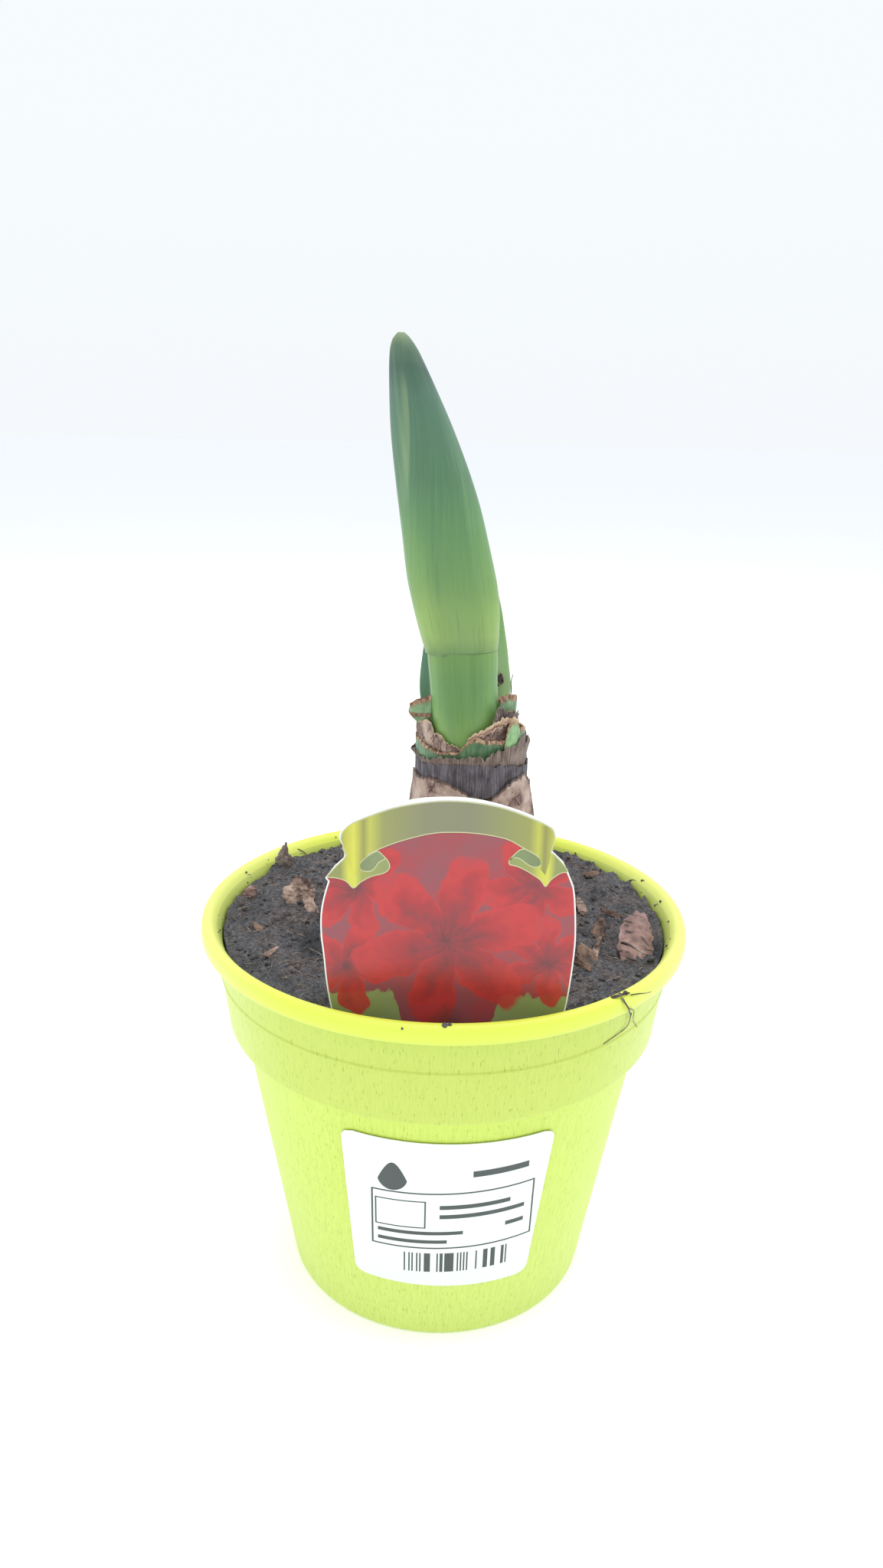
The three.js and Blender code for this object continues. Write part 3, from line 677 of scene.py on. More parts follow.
def paper_finish(name, pale, middle, dark, crack, edge=None, torn=0.5):
    """Dry veined skin with cracks. edge colours its torn rim, and torn is how far the cracks spread."""
    made = Finish(name, Roughness=0.72)
    z, turn = round_neck(made)
    ribs = made.grain(made.join(turn * 16, z * 0.16), 0.42, detail=3, rough=0.6)
    blotch = made.grain(made.point(), 5.5, detail=4, rough=0.62)
    netting = made.cells(made.join(turn * 16, z * 0.55), 1.5, "DISTANCE_TO_EDGE")
    colour = made.ramp(blotch, (0.36, dark), (0.5, middle), (0.64, pale))
    colour = made.mix(ribs.step(0.5, 0.72) * 0.45, colour, dark)
    cracks = netting.step(0.05, 0.012) * blotch.step(torn, torn - 0.08)
    colour = made.mix(cracks * 0.75, colour, crack)
    if edge:
        up = made.sheet()[1]
        colour = made.mix((up + ribs * 0.03).step(0.985, 0.998), colour, edge)
    made.feed("Base Color", colour)
    made.bump(ribs * 0.6 + blotch * 0.6 - cracks * 0.8, 0.35)
    return made


def flap_radius(turn, z, w):
    lift = 1.5 * smooth((w - 0.4) / 0.45)
    return bulb_radius(z) + 1.15 + lift + 0.45 * crinkle(turn, 6, z / 12, 1.7) * w


tan_paper = paper_finish("tan papery skin", "c8b0a4", "a88d80", "745b52", "33251f", "64514a")
wrap("papery_skin_shoulder", tan_paper, "papery_skin", (220, 40), ALL_ROUND, 101.5,
     torn_rim([(0, 144.6)], 2.0, 1.2, 0.8),
     lambda turn, z, w: bulb_radius(z) + 0.55 + 0.5 * crinkle(turn, 9, z / 30, 1.4),
     PAPER_THICK, bulb_x, ["papery_skin"])
wrap("papery_skin_left", tan_paper, "papery_skin", (110, 26), (-105, 8), 118.0,
     torn_rim(LEFT_FLAP_RIM, 4.0, 0.5, 0.5), flap_radius, PAPER_THICK, bulb_x)
wrap("papery_skin_right", tan_paper, "papery_skin", (110, 26), (8, 120), 117.0,
     torn_rim(RIGHT_FLAP_RIM, 6.0, 0.6, 0.9),
     lambda turn, z, w: flap_radius(turn + 2, z, w) + 0.1, PAPER_THICK, bulb_x)


# The dark skin: an old coat, dried nearly black and finely ribbed, that wraps the neck below the green
# scales. Its upper part has bleached to a tan ribbed fringe with torn spikes.
DARK_RIM = [(-180, 150), (-90, 148.8), (-46, 149.5), (-13, 150.6), (15, 150.5), (36, 149.8), (59, 148.4),
            (76, 147.6), (120, 150), (180, 150)]
FRINGE_RIM = [(-180, 152.5), (-120, 150.6), (-94, 151), (-84, 150.4), (-74, 149.9), (-48, 150.4),
              (-24, 151.8), (-3, 152.5), (6, 152.9), (11, 151.6), (15, 152.7), (24, 153.9), (46, 154.4),
              (54, 155.6), (61, 157.5), (66, 154.6), (76, 155.5), (90, 153.2), (110, 154), (140, 152),
              (180, 152.5)]


def dark_foot(turn):
    """The band's lower edge, a V that hangs at the front."""
    return 142.0 + 3.6 * abs(math.sin((turn - math.radians(18)) / 2)) + ragged(turn, 1.0, 0.3, 0.3)


def fringe_radius(turn, z, w):
    degrees = math.degrees(turn)
    spikes = 1.3 * math.exp(-((degrees + 92) / 5) ** 2) + 0.15 * math.exp(-((degrees - 84) / 7) ** 2)
    return 13.8 + (0.9 + spikes + 0.6 * crinkle(turn, 9, 4, 1.0)) * w * w


def ribbed_finish(name, pale, middle, dark, edge=None):
    """Dry skin with fine upright ribs. edge colours its torn rim."""
    made = Finish(name, Roughness=0.66)
    z, turn = round_neck(made)
    ribs = made.grain(made.join(turn * 14.5, z * 0.05), 0.36, detail=2, rough=0.55)
    blotch = made.grain(made.point(), 3.4, detail=4, rough=0.6)
    colour = made.ramp(blotch * 0.45 + ribs * 0.55, (0.4, dark), (0.5, middle), (0.62, pale))
    if edge:
        up = made.sheet()[1]
        colour = made.mix((up + ribs * 0.04).step(0.95, 0.975), colour, edge)
    made.feed("Base Color", colour)
    made.bump(ribs + blotch * 0.4, 0.4)
    return made


dark_paper = ribbed_finish("dark dried skin", "7d757b", "5c555b", "3d373c")
fringe_paper = ribbed_finish("bleached fringe", "9d897d", "826f66", "564541")
wrap("dark_skin_band", dark_paper, "dark_skin", (240, 22), ALL_ROUND, dark_foot,
     torn_rim(DARK_RIM, 3.0, 0.4, 0.5), lambda turn, z, w: 14.4 + 0.4 * crinkle(turn, 9, 1, 1.1), 0.4,
     nodes=["dark_skin"])
wrap("dark_skin_fringe", fringe_paper, "dark_skin", (320, 24), ALL_ROUND, 146.5,
     torn_rim(FRINGE_RIM, 7.0, 0.3, 0.9), fringe_radius, 0.3)


# The neck scales: green leaf bases that were cut off level with the neck. Each is a fleshy sheet with
# a thin brown dried edge, and between them stands brown netted tissue that has dried and split.
OUTER_RIM = [(-180, 157), (-125, 154.8), (-89, 154.8), (-74, 154.6), (-56, 153.4), (-39, 152.6),
             (-23, 153.1), (-16, 153.3), (-12, 154.7), (-4, 156.8), (4, 157.4), (13, 156.5), (25, 156.3),
             (42, 156), (60, 158.6), (90, 157), (140, 156.5), (180, 157)]
INNER_RIM = [(54, 165.8), (60, 166), (70, 166.3), (80, 165.8), (90, 164.2), (100, 162.4), (120, 161.5),
             (180, 161.5), (225, 161), (254, 160.4), (262, 160.8), (270, 161.6), (277, 162.5), (285, 164),
             (292, 165.3), (304, 166.4)]
SECOND_RIM = [(236, 158), (246, 161), (256, 161.2), (266, 160.7), (280, 160.7), (292, 161.2), (304, 161.4)]
TISSUE_LEFT_RIM = [(-112, 157.5), (-100, 158.4), (-89, 158.1), (-75, 158.8), (-62, 159.4), (-54, 159.6),
                   (-49, 157.4), (-39, 156.7), (-29, 155), (-22, 154.7), (-14, 153.2)]
TISSUE_RIGHT_RIM = [(-13, 153.8), (-7, 156.5), (1, 158), (16, 159.5), (28, 161), (36, 161.7), (47, 161.5),
                    (60, 160.9), (72, 159.5)]
SHAG_RIM = [(24, 160.5), (29, 164), (37, 164.1), (48, 162.9), (56, 162.8), (64, 161.6), (76, 161.5)]
ROUND_RIM = [(35, 154.5), (38, 158.6), (42, 160.6), (47, 161.3), (52, 160.8), (57, 158.8), (60, 156.5),
             (63, 154)]


def scale_finish(name, pale, middle, dark, edge_dark, edge_pale):
    """Green flesh with fine veins and a dried brown rim."""
    made = Finish(name, Roughness=0.42)
    z, turn = round_neck(made)
    up = made.sheet()[1]
    veins = made.grain(made.join(turn * 13, z * 0.08), 0.5, detail=2)
    blotch = made.grain(made.point(), 3.0, detail=3)
    frayed = made.grain(made.join(turn * 13, z * 0.4), 0.7, detail=3)
    colour = made.ramp(blotch * 0.6 + veins * 0.4, (0.38, dark), (0.5, middle), (0.64, pale))
    edge = (up + frayed * 0.1).step(0.93, 0.99)
    rim = made.ramp(frayed, (0.4, edge_dark), (0.6, edge_pale))
    made.feed("Base Color", made.mix(edge, colour, rim))
    made.feed("Roughness", 0.4 + edge * 0.35)
    made.bump(veins * 0.5 + frayed * edge, 0.25)
    return made


def stub_middle(z):
    return NECK_X - 2.2 * smooth((z - 155.6) / 6)


def stub_radius(turn, z, w):
    """The open ring of the inner scale. Its two ends are drawn in to the flanks of the stalk."""
    degrees = math.degrees(turn)
    drawn_in = 0.25 * smooth((degrees - 281) / 18) + 0.17 * smooth((78 - degrees) / 18)
    flare = smooth((z - 155.6) / 6)
    half_x = 11.6 + (2.2 if math.sin(turn) < 0 else 1.3) * flare
    half_y = 11.6 + 0.7 * flare
    reach = half_x * half_y / math.hypot(half_y * math.sin(turn), half_x * math.cos(turn))
    reach *= 1 - drawn_in * smooth((z - 154) / 5)
    return reach + 0.25 * crinkle(turn, 4, z / 8, 1.2)


def outer_radius(turn, z, w):
    bulge = 1.3 * max(0, -math.sin(turn)) ** 3
    return 12.95 + 0.04 * max(0, z - 150) + bulge + 0.25 * crinkle(turn, 5, z / 9, 1.3)


def left_tissue_radius(turn, z, w):
    bulge = 1.9 * max(0, -math.sin(turn)) ** 3 * smooth((z - 149) / 7)
    return 12.4 + bulge + 0.4 * crinkle(turn, 9, z / 3, 1.2)


scale_green = scale_finish("green scale", "718f67", "567a53", "446748", "7b5b45", "c9a888")
stub_green = scale_finish("stub green scale", "90b083", "7a9d71", "62845d", "6f4f3f", "b08d72")
pale_scale = scale_finish("pale green scale", "a9c98e", "8bb47c", "6f9a68", "8a6a52", "c9b08a")
netted = paper_finish("brown netted tissue", "cdb5a6", "977c70", "5b463e", "2a1d19", "cfb295", 0.6)
pink_fibre = ribbed_finish("pink dried tissue", "dcbaa8", "b99280", "7c5c50", "d9bd9f")
shaggy = paper_finish("dark shaggy tissue", "b3a094", "7c6c66", "4f4343", "2a2222", "8d7768", 0.6)
tissue_right_rim = torn_rim(TISSUE_RIGHT_RIM, 22.0, 0.3, 0.7)

wrap("neck_scale_green", scale_green, "neck_scale", (240, 26), ALL_ROUND, 147.2,
     torn_rim(OUTER_RIM, 12.0, 0.1, 0.25), outer_radius, 0.6, nodes=["neck_scale_outer"])
wrap("neck_scale_stub", stub_green, "neck_scale", (230, 30), (54, 304), 150.3,
     torn_rim(INNER_RIM, 14.0, 0.2, 0.35), stub_radius, 0.8, stub_middle, ["neck_scale_inner"])
wrap("neck_scale_second", stub_green, "neck_scale", (70, 24), (236, 304), 151.5,
     torn_rim(SECOND_RIM, 17.0, 0.1, 0.3),
     lambda turn, z, w: stub_radius(turn, z, w) + 0.75 - 0.1 * w, 0.5, stub_middle)
wrap("dried_tissue_left", netted, "neck_scale", (130, 20), (-112, -14), 149.0,
     torn_rim(TISSUE_LEFT_RIM, 21.0, 0.4, 0.8), left_tissue_radius, 0.3)
wrap("dried_tissue_right", pink_fibre, "neck_scale", (110, 20), (-13, 72), 149.0, tissue_right_rim,
     lambda turn, z, w: 12.2 + 0.35 * crinkle(turn, 9, z / 3, 1.2), 0.3)
wrap("dried_tissue_fold", netted, "neck_scale", (90, 14), (-10, 64), 150.0,
     lambda turn: tissue_right_rim(turn) - 1.3 + ragged(turn, 25.0, 0.3, 0.3),
     lambda turn, z, w: 12.65 + 0.25 * crinkle(turn, 9, z / 3, 1.2), 0.25)
wrap("dried_shag", shaggy, "neck_scale", (90, 18), (24, 76), 157.0, torn_rim(SHAG_RIM, 27.0, 0.6, 1.3),
     lambda turn, z, w: 11.6 + 0.9 * w * abs(crinkle(turn, 9, z / 2, 0.9)), 0.25)
wrap("neck_scale_round", pale_scale, "neck_scale", (30, 24), (35, 63), 150.0,
     torn_rim(ROUND_RIM, 0.0, 0.0, 0.0), lambda turn, z, w: 13.55 + 0.35 * math.sin(math.pi * w), 0.6)


# The flower stalk: one slightly flattened stem of solid green flesh with a waxy skin. It grows out of the
# neck and is a little yellower at its foot and at its top, and its foot is also painted lighter as painted
# light.
STALK_HALF_X = 8.5
STALK_HALF_Y = 7.3
STALK_Y = -4.0
# The palest stops, at the foot, are partly the stalk's own yellower colour and partly painted light.
STALK_COLOURS = [(140, "9abd64"), (153, "95b863"), (163, "769f59"), (170, "6c9654"), (177, "74994f")]


def stalk_place(u, w):
    z = 140 + 37.9 * min(1, w * 60 / 59)
    turn = math.tau * u
    shrink = 0.0 if w in (0, 1) else 1.0
    swell = 1 + 0.035 * smooth((z - 168) / 9) - 0.01 * smooth((150 - z) / 10)
    x = 5.6 - 0.068 * (z - 140) + STALK_HALF_X * swell * math.sin(turn) * shrink
    y = STALK_Y - STALK_HALF_Y * swell * math.cos(turn) * shrink
    return (x, y, z)


def flesh_finish(name, streak_width, colour_stops, light, dark, around=60, middle_shade=None):
    """Waxy green plant skin with fine lengthwise streaks. colour_stops run up the piece in mm; the last
    argument, if given, darkens the middle as painted shade.
    """
    made = Finish(name, Roughness=0.4, Specular_IOR_Level=0.45)
    x, z = made.place("XZ")
    across = made.sheet()[0]
    streak = made.grain(made.join(across * around, z * 0.035, 0.0), streak_width, detail=3, rough=0.6)
    broad = made.grain(made.join(across * around, z * 0.06, 4.0), streak_width * 5, detail=2)
    cloud = made.grain(made.point(), 9.0, detail=2)
    low = colour_stops[0][0]
    high = colour_stops[-1][0]
    height = (z + (cloud - 0.5) * 6 - low) / (high - low)
    colour = made.ramp(height, *[((place - low) / (high - low), chip) for place, chip in colour_stops])
    colour = made.mix(streak.step(0.52, 0.78) * 0.3 + broad.step(0.5, 0.75) * 0.25, colour, light)
    colour = made.mix(streak.step(0.5, 0.22) * 0.3 + broad.step(0.5, 0.25) * 0.25, colour, dark)
    if middle_shade:
        # Painted shade: the middle of the piece is darkened towards the dark streak colour.
        colour = made.mix(middle_shade(x, z) * 0.3, colour, dark)
    made.feed("Base Color", colour)
    made.feed("Roughness", 0.36 + cloud * 0.1)
    made.bump(streak, 0.06)
    return made


def stalk_middle_shade(x, z):
    """1 along the middle of the stalk, which is painted darker as painted shade, and 0 at its flanks, which
    stay paler.
    """
    return (abs(x + z * 0.068 - 15.1) / STALK_HALF_X).step(0.85, 0.3)


stalk = bend_grid("stalk_stem", 72, 60, stalk_place)
seal(stalk)
stalk_green = flesh_finish("stalk skin", 0.7, STALK_COLOURS, "8ab56c", "4b7540", middle_shade=stalk_middle_shade)
settle(stalk, stalk_green, "stalk", "flower_stalk", angle=50)


# The bud: two thick green bracts that meet along a slanting seam and close over the flowers. The front
# one laps over the left one. Both are waxy and finely streaked from the joint up to the pale tip.
BUD_SECTIONS = [(177.1, 2.75, 8.95), (181.5, 2.2, 9.8), (188.8, 1.16, 10.7), (195.5, -0.1, 10.9),
                (205, -2, 10.2), (217, -4.7, 9.1), (229, -7.8, 7.35), (239, -10.4, 5.2), (246.5, -12.3, 3.25),
                (249.5, -12.8, 2.05), (250.8, -12.9, 0.8)]
SEAM_LOW = 190
SEAM_HIGH = 246
SEAM_AT_TIP = -8
SEAM_SWEEP = 62


def curve_through(rows, place):
    """A smooth curve through rows of (place, value, value)."""
    last = len(rows) - 2
    spot = 0
    while spot < last and rows[spot + 1][0] < place:
        spot += 1
    a = rows[max(spot - 1, 0)]
    b = rows[spot]
    c = rows[spot + 1]
    d = rows[min(spot + 2, len(rows) - 1)]
    t = (place - b[0]) / (c[0] - b[0])
    values = []
    for i in (1, 2):
        slope_b = (c[i] - a[i]) / (c[0] - a[0]) * (c[0] - b[0])
        slope_c = (d[i] - b[i]) / (d[0] - b[0]) * (c[0] - b[0])
        h = (2 * t ** 3 - 3 * t ** 2 + 1) * b[i] + (t ** 3 - 2 * t ** 2 + t) * slope_b
        values.append(h + (3 * t ** 2 - 2 * t ** 3) * c[i] + (t ** 3 - t ** 2) * slope_c)
    return values


def bud_point(turn, z, proud):
    x, half = curve_through(BUD_SECTIONS, z)
    share = 0.82 - 0.14 * smooth((z - 177.1) / 14) + 0.1 * smooth((z - 225) / 25)
    half = half + proud
    return (x + half * math.sin(turn), STALK_Y - half * share * math.cos(turn), z)


def seam_turn(z):
    climbed = smooth((z - SEAM_LOW) / (SEAM_HIGH - SEAM_LOW))
    return math.radians(SEAM_AT_TIP - SEAM_SWEEP * (1 - climbed))


def bud_round(u, w):
    share = max(0, (w * 110 - 1) / 109)
    z = 176.95 + 73.85 * share
    if w == 0:
        return (2.7, STALK_Y, 176.95)
    if w == 1:
        return (-12.9, STALK_Y, 250.85)
    ring = bud_point(math.tau * u, max(z, 177.1), 0)
    return (ring[0], ring[1], z)


BUD_COLOURS = [(177, "67884a"), (178.5, "82a055"), (182, "95b35e"), (187, "90b05d"), (192, "7fa258"),
               (199, "729a58"), (209, "66905c"), (219, "597e5e"), (229, "5a7d65"), (237, "577566"),
               (243.5, "475d57"), (247.5, "5c7360"), (249.6, "909f76"), (251, "d0d5a6")]


def bud_shade(x, z):
    """1 along the middle of the bud and 0 at its flanks, which are paler."""
    up = z - 177
    middle = 2.75 - up * 0.13 - up * up * 0.0013
    half = 10.9 - (up - 16) * (up - 16) * 0.00215
    # 1 along the middle of the bud, which is painted darker as painted shade, and 0 at its flanks, which stay
    # paler.
    return (abs(x - middle - half * 0.08) / half).step(0.85, 0.35)


bract_back_green = flesh_finish("back bract skin", 0.55, BUD_COLOURS, "8bae7c", "436a4b", 60, bud_shade)
bract_front_green = flesh_finish("front bract skin", 0.55, BUD_COLOURS, "87ab77", "436a4b", 34, bud_shade)

# Where the front bract laps over, the back one has a painted highlight: it is painted paler in a strip beside
# the seam.
back_z = bract_back_green.place("Z")[0]
back_u = bract_back_green.sheet()[0]
climbed = back_z.step(SEAM_LOW, SEAM_HIGH)
from_seam = back_u - (1 + (SEAM_AT_TIP - SEAM_SWEEP * (1 - climbed)) / 360)
seam_highlight = from_seam.step(-0.075, -0.015) * back_z.step(210, 224) * back_z.step(245, 236)
painted = Field(bract_back_green, bract_back_green.shader.inputs["Base Color"].links[0].from_socket)
bract_back_green.feed("Base Color", bract_back_green.mix(seam_highlight * 0.4, painted, "93ab7c"))

bud_core = bend_grid("bract_back", 96, 110, bud_round)
seal(bud_core)
settle(bud_core, bract_back_green, "bud", "bract_left", angle=50)


def front_bract(u, w):
    z = 178.0 + 72.0 * w
    seam = seam_turn(z)
    turn = seam + (math.pi * 1.08 - seam) * u
    lip = smooth(u * 50) * smooth((1 - u) * 50)
    proud = 0.03 + (0.1 + 0.3 * lip) * smooth((z - 197) / 16) * smooth((1 - w) / 0.05)
    return bud_point(turn, z, proud)


front = bend_grid("bract_lapping", 150, 120, front_bract)
thicken(front, 0.25, -1.0)
settle(front, bract_front_green, "bud", "bract_front", angle=50)


# The leaves: two thick strap leaves that rise behind the stalk, folded a little along their middle, with
# parallel veins and blunt tips. The left one, in the stalk's shade, has a darker copy of the leaf skin as
# painted shade.
LEAF_LEFT = [(143, -1.5, 8.5), (152, -2.8, 9), (158, -4.8, 10), (163, -7.5, 10.5), (175, -7, 10),
             (186, -4.8, 7.5), (193, -2.2, 4.6), (196, 0, 2)]
LEAF_RIGHT = [(143, 1.5, 11), (152, 0.5, 12), (158, -1.5, 14), (164, -2.5, 16.2), (172, -2.8, 15.5),
              (178, -2.6, 14.6), (189, -1.8, 12.3), (198, 0.2, 8.8), (203, 2.4, 5.4)]
LEAF_GREENS = [(143, "bcd890"), (156, "c8e4a6"), (170, "c6e6ac"), (186, "a6cc8c"), (203, "8cb276")]
SHADED_GREENS = [(143, "93b584"), (158, "8db393"), (175, "82a894"), (196, "7fa48c")]


def leaf_sheet(rows, middle_y):
    """The closed surface of a leaf, each row giving its (height, left edge, right edge)."""
    low = rows[0][0]
    high = rows[-1][0]

    def place(u, w):
        turn = math.tau * u
        z = low + (high - low) * w
        left, right = curve_through(rows, z)
        at_end = w in (0, 1)
        cross = 0 if at_end else -math.cos(turn)
        thick = 0 if at_end else 0.4 + 0.5 * (1 - cross * cross)
        x = (left + right) / 2 + (right - left) / 2 * cross
        y = middle_y - 1.9 * cross * cross + 0.02 * (z - 143) + thick * math.sin(turn)
        return (x, y, z)

    return place


leaf_green = flesh_finish("leaf skin", 0.9, LEAF_GREENS, "d6ecb4", "8fba7a")
# Painted shade: the left leaf's skin is a darker, bluer copy of the right leaf's skin.
shaded_leaf_green = flesh_finish("shaded leaf skin", 0.9, SHADED_GREENS, "a3c4ac", "66907a")
for side, rows, middle_y, skin in [
        ("left", LEAF_LEFT, 7.4, shaded_leaf_green), ("right", LEAF_RIGHT, 10.4, leaf_green)]:
    leaf = bend_grid(f"leaf_strap_{side}", 48, 60, leaf_sheet(rows, middle_y))
    seal(leaf)
    settle(leaf, skin, "leaf", f"leaf_{side}", angle=60)


# The picture label: a die-cut sheet of white plastic, printed on its front, with its stake pushed down
# into the soil. The print is a ribbon over a pattern of red petals, and a white edge is left round it.
LABEL_Y = -50.0
LABEL_THICK = 0.7
WHITE_EDGE = 0.33
PRINT_THICK = 0.025
PRINT_EDGE = 0.22
LABEL_TOP = [(-23.6, 145.4), (-20.6, 148.4), (-14.5, 151.6), (-7.4, 153.9), (0, 154.6), (5.8, 154.3),
             (11.6, 153.1), (17.6, 151.1), (23.1, 148.7)]
LABEL_RIGHT = [(23.9, 146.5), (23.2, 142.6), (25.9, 140), (27.2, 137.4)]
LABEL_RIGHT_SIDE = [(28.5, 134.3), (29, 131.2), (29.5, 125.6), (29.7, 119.7), (29.2, 111), (28.3, 103),
                    (26.9, 98.6), (25, 95.5)]
LABEL_STAKE = [(6, 91), (4.6, 70), (0.9, 66), (-2.8, 70), (-4.2, 91)]
LABEL_LEFT_SIDE = [(-23, 95.5), (-24.6, 98.4), (-25.7, 102), (-26.8, 109), (-27.4, 116), (-27.9, 121),
                   (-27.9, 126), (-27.2, 130.4), (-26.1, 134.3)]
LABEL_LEFT = [(-26.7, 135), (-24.7, 137.8), (-22.6, 139.9), (-22.4, 141.9), (-23.6, 144.6)]
RIBBON_TOP = [(-23.1, 145.6), (-22.0, 147.3), (-19.4, 148.9), (-12.3, 151.8), (-5.7, 153.3), (0.1, 153.9),
              (6.3, 153.6), (12.6, 152.4), (18.9, 150.1), (22.6, 148.3), (23.5, 147.2)]
RIBBON_RIGHT = [(23.8, 146.0), (23.5, 144.2), (23.0, 142.2), (22.6, 139.6), (22.0, 137.0), (20.9, 138.3)]
RIBBON_LOW = [(21.0, 140.2), (19.7, 141.6), (16.5, 143.4), (12.9, 145.3), (6.5, 146.4), (0.3, 146.5),
              (-3.5, 146.1), (-7.3, 145.1), (-11.4, 143.7), (-15.2, 142.0), (-17.3, 140.7), (-19.0, 139.0)]
RIBBON_LEFT = [(-18.9, 137.6), (-20.0, 135.6), (-21.2, 137.6), (-22.0, 140.4), (-22.8, 142.9), (-23.3, 144.4)]
LEFT_TAIL = [(-22.8, 142.8), (-22.3, 140.4), (-24.3, 138.1), (-26.0, 136.1), (-26.3, 135.2), (-24.5, 135.1),
             (-22.2, 134.4), (-20.5, 132.7), (-18.8, 134.2), (-16.5, 135.6), (-13.9, 136.4), (-12.6, 137.4),
             (-12.4, 138.8), (-13.3, 140.3), (-15.2, 141.9), (-17.4, 141.4)]
LEFT_CURL = [(-15.2, 141.9), (-17.3, 140.7), (-19.0, 139.0), (-19.2, 137.8), (-18.6, 137.0), (-16.9, 136.8),
             (-15.7, 137.6), (-14.8, 139.0), (-13.3, 140.1), (-14.3, 141.3)]
RIGHT_TAIL = [(23.0, 142.5), (25.3, 140.4), (26.6, 138.8), (27.0, 137.8), (25.4, 137.4), (23.4, 135.8),
              (22.2, 134.1), (20.9, 135.7), (18.3, 137.5), (15.7, 138.8), (14.0, 139.2), (13.8, 140.3),
              (14.7, 141.5), (16.7, 143.2), (20.2, 142.4)]
RIGHT_CURL = [(16.9, 143.2), (19.9, 141.8), (21.1, 140.0), (20.5, 138.9), (19.0, 138.8), (17.7, 139.5),
              (16.4, 140.5), (14.9, 140.9), (13.9, 140.3), (14.9, 141.8)]
FLOWERS = [((20, 134), 13, 5, 0.4), ((-20, 133), 14, 6, 0.3), ((24, 116), 12, 6, 0.5),
           ((-22, 113), 12, 5, 0.1), ((1, 120), 23, 6, 0.75)]
PETAL_REDS = [(0.02, "3f3d33"), (0.12, "64383a"), (0.28, "93393e"), (0.46, "b33437"), (0.64, "c83a3a"),
              (0.95, "a8444a")]
BAND_TINTS = [(-24, "8b8c47"), (-22, "c9c64a"), (-20.4, "dedb4e"), (-18.2, "98984f"), (-16.8, "c3c352"),
              (-14, "979a5a"), (-5, "88876a"), (5, "85846a"), (14, "93965c"), (18.2, "9b9c55"),
              (20.2, "c6c650"), (21.6, "8f8f4c"), (24, "cfcd4d")]
LEFT_TINTS = [(-27, "93985c"), (-23.4, "8f9454"), (-21.6, "d6d64e"), (-20.2, "dcdd52"), (-18.6, "a3a855"),
              (-12, "8a9a64")]
RIGHT_TINTS = [(13, "8a9a64"), (19, "a0a757"), (21, "d2d450"), (22.6, "d9da52"), (24.2, "929a58"),
               (28, "879660")]
CURL_TINTS = [(-20, "75855a"), (-16, "839267"), (16, "7f8f63"), (22, "74845a")]


def round_off(points, times=3, closed=False):
    """Catmull-Rom points between the given ones."""
    made = []
    count = len(points)
    for i in range(count if closed else count - 1):
        near = [(i + k) % count if closed else min(max(i + k, 0), count - 1) for k in (-1, 0, 1, 2)]
        a, b, c, d = [Vector(points[spot]) for spot in near]
        for step in range(times):
            t = step / times
            made.append(0.5 * (2 * b + (c - a) * t + (2 * a - 5 * b + 4 * c - d) * t * t
                               + (3 * b - a - 3 * c + d) * t ** 3))
    if not closed:
        made.append(Vector(points[-1]))
    return made


def die_cut(name, outline, y_front, thick, border):
    """A flat sheet cut to an outline of (x, z) points, its front face inset by the border."""
    deselect()
    bpy.ops.mesh.primitive_circle_add(vertices=len(outline), radius=1 * MM, fill_type="NOTHING")
    piece = fresh_piece(name)
    for corner, (x, z) in zip(piece.data.vertices, outline):
        corner.co = Vector((x, y_front, z)) * MM
    edit(piece)
    bpy.ops.mesh.edge_face_add()
    bpy.ops.mesh.select_all(action="SELECT")
    bpy.ops.mesh.extrude_region_move(TRANSFORM_OT_translate={"value": (0, thick * MM, 0)})
    bpy.ops.mesh.select_all(action="SELECT")
    bpy.ops.mesh.normals_make_consistent(inside=False)
    bpy.ops.mesh.select_mode(type="FACE")
    bpy.ops.mesh.select_all(action="DESELECT")
    bpy.ops.object.mode_set(mode="OBJECT")
    for face in piece.data.polygons:
        face.select = face.normal.y < -0.9
    bpy.ops.object.mode_set(mode="EDIT")
    bpy.ops.mesh.inset(thickness=border * MM, depth=0)
    bpy.ops.object.mode_set(mode="OBJECT")
    return piece


def print_face(piece, finish, edge_finish, slot, *nodes):
    """Prints the inset front face in one finish and leaves the border in the other."""
    settle(piece, edge_finish, slot, *nodes, angle=30)
    piece.data.materials.append(finish.material)
    front = [face for face in piece.data.polygons if face.normal.y < -0.9]
    largest = max(front, key=lambda face: face.area)
    largest.material_index = 1


def petals(middle, reach, count, turn):
    """A generic open flower: inside its petals or not, how far out along one, and its folds."""
    dx = print_x + sway_x - middle[0]
    dz = print_z + sway_z - middle[1]
    bearing = dz.calc("ARCTAN2", dx) + turn
    lobe = abs((bearing * (count / 2)).calc("COSINE"))
    out = (dx * dx + dz * dz).calc("SQRT") / ((lobe ** 0.8) * (reach * 0.66) + reach * 0.34)
    fold = (bearing * (count * 2) + out * 3 + haze * 9).calc("SINE") * 0.5 + 0.5
    return out.step(1.0, 0.93), out, fold * 0.5 + lobe * 0.5


def ribbon_finish(name, stops):
    """Printed ribbon with a metallic gradient along x, its stops given in millimetres."""
    made = Finish(name, Roughness=0.34)
    x, z = made.place("XZ")
    low = stops[0][0]
    length = stops[-1][0] - low
    cloud = made.grain(made.join(x, z), 4.0)
    gradient = made.ramp((x - low) / length, *[((place - low) / length, chip) for place, chip in stops])
    made.feed("Base Color", made.mix(cloud * 0.25, gradient, "8f8d5c"))
    return made


